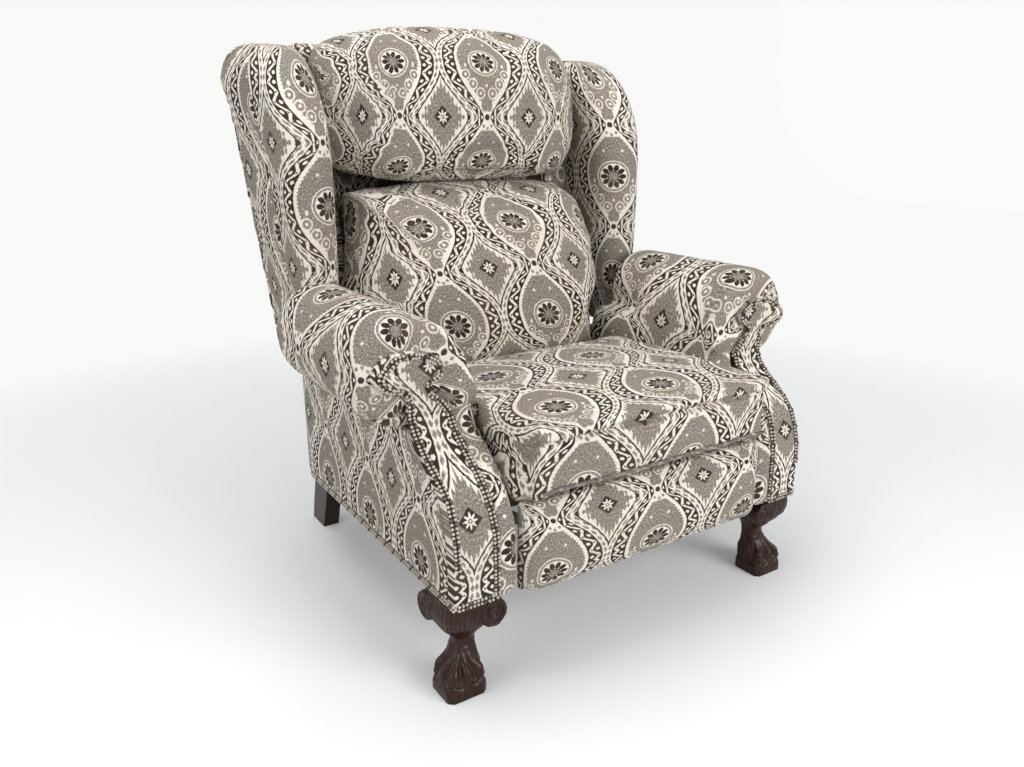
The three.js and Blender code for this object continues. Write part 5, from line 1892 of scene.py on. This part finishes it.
@dataclass
class Back:
    """The wings, the padded top, the outside of the back and the two back cushions."""

    room: Workroom
    wing_boxing: float = 0.052
    wing_seam: float = 0.0045
    wing_seam_depth: float = 0.005
    wing_lean: float = 0.19
    wing_foot: Pair = (0.116, 0.432)
    wing_middle: Pair = (0.35, 0.13)
    wing_shoulder: float = 0.048
    shoulder_share: float = 0.75
    wing_flowers: dict[Side, Place] = field(default_factory=lambda: {
        Side.LEFT: (0.335, 0.138, 0.764), Side.RIGHT: (-0.345, 0.134, 0.732),
    })
    wing_stretch: Pair = (1.08, 1.05)
    outer_cut: Pair = (0.07, 0.05)
    top_middle: Pair = (0.37, 0.97)
    top_flower: Place = (0.0, 0.35, 1.02)
    cushion_facet: float = 0.0065
    lumbar_widening: float = 1.01
    lumbar_corners: tuple[Corner, ...] = (
        Corner((-0.17, 0.64), (-0.119, 0.124), 0.8), Corner((0.20, 0.66), (0.089, 0.104), 0.3),
        Corner((0.19, 0.45), (0.099, -0.107), 0.85), Corner((-0.19, 0.45), (-0.099, -0.107), 0.85),
    )
    hip_share: float = 0.12
    hip_low: Pair = (0.480, 0.505)
    hip_high: Pair = (0.60, 0.51)
    lumbar_flower: Pair = (0.026, 0.712)
    lumbar_stretch: Pair = (1.03, 1.01)
    lumbar_shear: float = 0.27
    head_flower: Pair = (-0.010, 1.000)
    head_stretch: Pair = (0.95, 1.05)

    def behind_front(self, points: np.ndarray) -> np.ndarray:
        """How far points lie behind the leaning front edge of the wings."""
        return points[:, 1] - self.wing_foot[0] - self.wing_lean * (points[:, 2] - self.wing_foot[1])

    def rounded_top(self, points: np.ndarray) -> np.ndarray:
        """Lets the outer shoulder of a wing's top fall off in a soft round.

        Args:
            points: the points of the wing's cover.

        Returns:
            The moved points.
        """
        outer = np.abs(points[:, 0]).max() - self.wing_shoulder
        edge = np.clip((np.abs(points[:, 0]) - outer) / self.wing_shoulder, 0, 1)
        top = points[:, 2].max()
        near_top = smoothstep(top - 4 * self.wing_shoulder, top, points[:, 2])
        moved = points.copy()
        moved[:, 2] -= self.shoulder_share * self.wing_shoulder * edge ** 2 * near_top
        return moved

    def build(self) -> None:
        """Builds the covers and the cushions of the back."""
        for side in Side:
            self.wing(side)
        self.top_and_outside()
        self.lumbar()
        self.head()

    def wing(self, side: Side) -> None:
        """One padded wing, with the seam between its front roll and its outer cover.

        Args:
            side: the wing's side.
        """
        sign = side.value
        wing = refined(skin_over(f"wing_cover_{side.word}", [f"wing_{side.word}"], 0.006, 8))
        write_points(wing, self.rounded_top(read_points(wing)))
        points, normals = read_points(wing), read_normals(wing)
        seam = np.exp(-(((self.behind_front(points) - self.wing_boxing) / self.wing_seam) ** 2))
        seam *= smoothstep(0.2, 0.6, normals[:, 0] * sign)
        write_points(wing, points - normals * (self.wing_seam_depth * seam)[:, None])
        lay = ClothLay(
            axis=2, centre=(self.wing_middle[0] * sign, self.wing_middle[1]),
            lean=(0.0, self.wing_lean), start=math.pi / 2, flower=self.wing_flowers[side],
            stretch=self.wing_stretch, around_is_across=True, flip=sign < 0,
        )
        lay.lay(wing, 0.75)
        corners, firsts, _ = facet_corners(wing)
        nearest = np.minimum.reduceat(self.behind_front(read_points(wing))[corners], firsts)
        outer = (nearest > self.wing_boxing) & (facet_normals(wing)[:, 0] * sign > 0.25)
        shift_lay(wing, outer, self.outer_cut)
        self.room.hand_over(wing, "back", "fabric", [f"wing_{side.word}"], 0.9)

    def top_and_outside(self) -> None:
        """The padded top of the back and the flat outside back."""
        top = refined(skin_over("top_cover", ["back_top_rail"], 0.006, 8))
        ClothLay(axis=0, centre=self.top_middle, flower=self.top_flower).lay(top, 0.0)
        self.room.hand_over(top, "back", "fabric", ["back_top_rail"], 0.9)
        outside = refined(skin_over("outside_back_cover", ["outside_back"], 0.005, 4))
        lay_flat(outside, (0, 2))
        self.room.hand_over(outside, "back", "fabric", ["outside_back"])

    def lumbar(self) -> None:
        """The lumbar cushion, filled out in its corners and over the arms' rear ends."""
        lumbar = skin_over("lumbar_pad", ["lumbar_cushion"], self.cushion_facet, 6)
        stuff(lumbar, 0.012)
        points = read_points(lumbar)
        x, z = points[:, 0] * self.lumbar_widening, points[:, 2]
        for corner in self.lumbar_corners:
            x, z = squared(x, z, corner.start, corner.size, corner.share)
        hips = (0.4 + 0.6 * smoothstep(*self.hip_low, z)) * smoothstep(*self.hip_high, z)
        points[:, 0], points[:, 2] = x * (1 + self.hip_share * hips), z
        write_points(lumbar, points)
        crease(refined(lumbar), 0.0022, 14.0)
        lay_cushion(lumbar, self.lumbar_flower, self.lumbar_stretch, self.lumbar_shear)
        self.room.hand_over(lumbar, "back", "fabric", ["lumbar_cushion"], 0.7)

    def head(self) -> None:
        """The loose head pillow."""
        head = skin_over("head_pad", ["head_pillow"], self.cushion_facet, 6)
        stuff(head, 0.010)
        crease(refined(head), 0.0022, 14.0)
        lay_cushion(head, self.head_flower, self.head_stretch)
        self.room.hand_over(head, "back", "fabric", ["head_pillow"], 0.7)


@dataclass
class Seat:
    """The crowned seat cushion, with the seam over its front band and the cord under it."""

    room: Workroom
    seam_height: float = 0.427
    seam_drop: float = 0.012
    seam_width: float = 0.0042
    seam_depth: float = 0.009
    half_width: float = 0.259
    band_foot: float = 0.335
    band_belly: float = 0.006
    front: float = -0.42
    crown: float = 0.45
    flower: Place = (0.057, -0.343, 0.331)
    stretch: Pair = (1.06, 0.92)
    plan_corner: Corner = Corner((0.20, -0.36), (0.060, -0.062), 0.9)
    lower_corner: Corner = Corner((0.20, 0.38), (0.060, -0.056), 0.95)
    upper_corner: Corner = Corner((0.18, 0.38), (0.080, 0.070), 0.5)
    nose: Corner = Corner((-0.35, 0.375), (-0.072, 0.070), 0.8)
    chin: Corner = Corner((-0.38, 0.37), (-0.042, -0.046), 0.9)
    welt_half: float = 0.257
    welt_place: Pair = (-0.44, 0.338)
    welt_radius: float = 0.0035

    def seam_at(self, x: np.ndarray) -> np.ndarray:
        """The height of the seam between the top and the front band."""
        return self.seam_height - self.seam_drop * np.clip(x / self.half_width, -1, 1) ** 2

    def lay(self, cushion: bpy.types.Object) -> None:
        """Lays the print on the top and, on its own, on the front band.

        Args:
            cushion: the cushion.
        """
        corners, firsts, counts = facet_corners(cushion)
        points = read_points(cushion)[corners]
        normals = np.abs(read_normals(cushion))[corners]
        owner = np.repeat(np.arange(len(firsts)), counts)
        height = np.maximum.reduceat(points[:, 2], firsts)[owner]
        forward = np.minimum.reduceat(points[:, 1], firsts)[owner]
        x, y, z = points.T
        band = (height < self.seam_at(x) + 0.001) & (forward < self.nose.start[0])
        sideways = normals[:, 0] / (normals.sum(axis=1) + 1e-6)
        behind = np.where(band, np.maximum(y - self.front, 0), np.maximum(self.crown - z, 0))
        across = x + np.sign(x) * behind * sideways
        top = (y + 0.8 * (z - self.crown) * (1 - sideways) - self.flower[1]) / self.stretch[1]
        up = np.where(band, z - self.flower[2], top)
        write_lay(cushion, (across - self.flower[0]) / self.stretch[0], up)

    def build(self) -> None:
        """Builds the cushion and its cord."""
        cushion = skin_over("seat_pad", ["seat_cushion"], 0.006, 4)
        self.square_up(cushion)
        refined(reskinned(cushion, 0.0055, 3))
        self.sew_seam(cushion)
        crease(cushion, 0.0020, 12.0)
        self.lay(cushion)
        self.room.hand_over(cushion, "seat", "fabric", ["seat_cushion"], 0.8)
        count = 60
        line = np.column_stack([
            np.linspace(-self.welt_half, self.welt_half, count),
            np.full(count, self.welt_place[0]), np.full(count, self.welt_place[1]),
        ])
        cord = piping("seat_welt", line, [cushion], self.welt_radius)
        self.room.hand_over(cord, "seat", "welt")

    def square_up(self, cushion: bpy.types.Object) -> None:
        """Fills out the cushion's corners, as its boxed cover does.

        Args:
            cushion: the cushion.
        """
        x, y, z = read_points(cushion).T
        for side in Side:
            sign = side.value
            x, y = squared(x, y, *mirror_corner(self.plan_corner, sign), self.plan_corner.share)
            for corner in (self.lower_corner, self.upper_corner):
                x, z = squared(x, z, *mirror_corner(corner, sign), corner.share)
        for corner in (self.nose, self.chin):
            y, z = squared(y, z, corner.start, corner.size, corner.share)
        write_points(cushion, np.column_stack([x, y, z]))

    def sew_seam(self, cushion: bpy.types.Object) -> None:
        """Draws in the seam across the front and lets the band below it belly out.

        Args:
            cushion: the cushion.
        """
        points = read_points(cushion)
        above_seam = points[:, 2] - self.seam_at(points[:, 0])
        front = smoothstep(-0.36, -0.395, points[:, 1])
        front *= smoothstep(0.254, 0.240, np.abs(points[:, 0]))
        shift = -self.seam_depth * front * np.exp(-((above_seam / self.seam_width) ** 2))
        down_band = np.clip(-above_seam / (self.seam_height - self.band_foot), 0, 1)
        shift += self.band_belly * front * np.clip(np.sin(down_band * math.pi), 0, 1)
        write_points(cushion, points + read_normals(cushion) * shift[:, None])


@dataclass
class Footrest:
    """The padded footrest panel."""

    room: Workroom
    half_width: float = 0.2611
    flower: Pair = (-0.006, 0.198)
    stretch: Pair = (1.03, 0.95)

    def build(self) -> None:
        """Builds the pad."""
        nodes = ["footrest_pad", "footrest_board"]
        pad = skin_over("footrest_cover", nodes, 0.004, 3)
        points = read_points(pad)
        points[:, 0] *= self.half_width / np.abs(points[:, 0]).max()
        write_points(pad, points)
        crease(refined(pad), 0.0015, 14.0)
        lay_cushion(pad, self.flower, self.stretch)
        self.room.hand_over(pad, "footrest", "fabric", nodes, 0.8)


@dataclass
class Hidden:
    """The timber frame and the steel mechanism, which keep the frame's shapes."""

    room: Workroom
    timber: tuple[str, ...] = (
        "side_rail_left", "side_rail_right", "front_post_left", "front_post_right",
        "rear_post_left", "rear_post_right", "arm_rail_left", "arm_rail_right", "cross_rail",
        "seat_side_rail_left", "seat_side_rail_right", "seat_front_rail", "seat_rear_rail",
        "back_post_left", "back_post_right", "back_bottom_rail",
    )
    steel: tuple[str, ...] = (
        "base_plate", "seat_plate", "rear_link", "front_link", "long_link", "tip_link",
        "footrest_bracket", "hinge_bracket",
    )
    single: tuple[str, ...] = ("spring_1", "spring_2", "spring_3", "torque_tube")

    def build(self) -> None:
        """Gives each kept solid its finish."""
        for node in self.timber:
            self.room.dress_node(node, self.room.hardwood)
        for stem in self.steel:
            for side in Side:
                self.room.dress_node(f"{stem}_{side.word}", self.room.steel)
        for node in self.single:
            self.room.dress_node(node, self.room.steel)


@dataclass(frozen=True)
class Lamp:
    """A broad square lamp that shines at the chair's middle."""

    name: str
    place: Place
    power: float
    size: float = 2.0
    aim: Place = (0.0, 0.0, 0.5)

    def hang(self) -> None:
        """Puts the lamp into the scene."""
        lamp = bpy.data.lights.new(self.name, "AREA")
        lamp.shape = "SQUARE"
        lamp.size = self.size
        lamp.energy = self.power
        holder = bpy.data.objects.new(self.name, lamp)
        bpy.context.scene.collection.objects.link(holder)
        holder.location = self.place
        direction = Vector(self.aim) - Vector(self.place)
        holder.rotation_euler = direction.to_track_quat("-Z", "Y").to_euler()


@dataclass
class Studio:
    """The pale floor, the soft lights and the camera."""

    eye: Place = (-0.8915, -1.3241, 0.8629)
    turn: float = -33.12
    tilt: float = 90 - 17.23
    lens: float = 28.617
    lamps: tuple[Lamp, ...] = (
        Lamp("overhead_light", (-0.5, 0.2, 3.0), 50.0),
        Lamp("front_light", (0.9, -3.3, 1.7), 92.0),
        Lamp("left_light", (-3.0, -0.4, 1.5), 30.0),
    )
    floor_half: float = 9.0
    floor_rear: float = 5.0
    sweep_radius: float = 2.0
    sweep_steps: int = 12
    sweep_top: float = 8.0
    floor_colour: Colour = (0.745, 0.75, 0.76)
    floor_mottle: Colour = (0.73, 0.735, 0.745)
    floor_lift: float = 0.13
    far_white: Colour = (0.945, 0.945, 0.935)
    surround: Colour = (0.95, 0.97, 1.0)
    surround_strength: float = 0.36
    seen_white: Colour = (0.96, 0.96, 0.955)

    def build(self) -> None:
        """Sets up the floor, the lights, the world and the camera."""
        self.floor()
        for lamp in self.lamps:
            lamp.hang()
        self.world()
        self.camera()
        bpy.context.scene.view_settings.view_transform = "Standard"

    def floor(self) -> None:
        """A wide pale floor that runs up behind the chair, seen as white."""
        build = bmesh.new()
        profile = [(-self.floor_half, 0.0), (self.floor_rear, 0.0)]
        for step in range(1, self.sweep_steps + 1):
            angle = step / self.sweep_steps * math.pi / 2
            rise = self.sweep_radius * (1 - math.cos(angle))
            profile.append((self.floor_rear + self.sweep_radius * math.sin(angle), rise))
        profile.append((self.floor_rear + self.sweep_radius, self.sweep_top))
        ends = (-self.floor_half, self.floor_half)
        rows = [[build.verts.new((x, y, z)) for x in ends] for y, z in profile]
        for low, high in zip(rows, rows[1:]):
            build.faces.new((low[0], low[1], high[1], high[0]))
        floor = new_piece("studio_floor", mesh_from(build, "studio_floor"))
        smooth_shaded(floor.data)
        floor.data.materials.append(self.paper())

    def paper(self) -> bpy.types.Material:
        """Pale paper that the eye sees as white away from the chair's shadow.

        Returns:
            The material.
        """
        bath = Dyebath("studio_paper")
        point = bath.place()
        colour = bath.paint(self.floor_colour, self.floor_mottle, bath.grain(point, 1.5))
        bath.finish(colour, Roughness=0.9, Specular_IOR_Level=0.1)
        plain = bath.surface.outputs[0]
        glow = bath.node("ShaderNodeEmission")
        glow.inputs["Strength"].default_value = self.floor_lift
        lifted = bath.node("ShaderNodeAddShader")
        bath.join(plain, lifted.inputs[0])
        bath.join(glow.outputs[0], lifted.inputs[1])
        white = bath.node("ShaderNodeEmission")
        white.inputs["Color"].default_value = (*self.far_white, 1)
        reach = bath.node("ShaderNodeVectorMath", operation="LENGTH")
        bath.join(point, reach.inputs[0])
        far = Wire(bath.tree, reach.outputs["Value"]).rise(0.8, -0.75)
        seen_floor = blended(bath.tree, far, lifted.outputs[0], white.outputs[0])
        both = blended(bath.tree, looked_at(bath.tree), plain, seen_floor)
        bath.join(both, bath.tree.nodes["Material Output"].inputs["Surface"])
        return bath.material

    def world(self) -> None:
        """A soft surround that the eye sees as white."""
        world = bpy.data.worlds.new("studio_surround")
        bpy.context.scene.world = world
        world.use_nodes = True
        tree = world.node_tree
        soft = tree.nodes["Background"]
        soft.inputs["Color"].default_value = (*self.surround, 1)
        soft.inputs["Strength"].default_value = self.surround_strength
        bright = tree.nodes.new("ShaderNodeBackground")
        bright.inputs["Color"].default_value = (*self.seen_white, 1)
        bright.inputs["Strength"].default_value = 1.0
        both = blended(tree, looked_at(tree), soft.outputs[0], bright.outputs[0])
        tree.links.new(both, tree.nodes["World Output"].inputs["Surface"])

    def camera(self) -> None:
        """The camera, where the photograph was taken from."""
        view = bpy.data.cameras.new("camera")
        view.lens = self.lens
        view.sensor_width = 36.0
        view.clip_start = 0.05
        holder = bpy.data.objects.new("camera", view)
        bpy.context.scene.collection.objects.link(holder)
        holder.location = self.eye
        holder.rotation_euler = (math.radians(self.tilt), 0.0, math.radians(self.turn))
        bpy.context.scene.camera = holder


def main() -> None:
    """Builds the chair and its surroundings."""
    logging.basicConfig(level=logging.INFO, format="%(message)s")
    Studio().build()
    room = Workroom()
    for part in (Base(room), Back(room), Seat(room), Footrest(room), Hidden(room)):
        part.build()
        log.info("%s done", type(part).__name__)


if __name__ == "__main__":
    main()
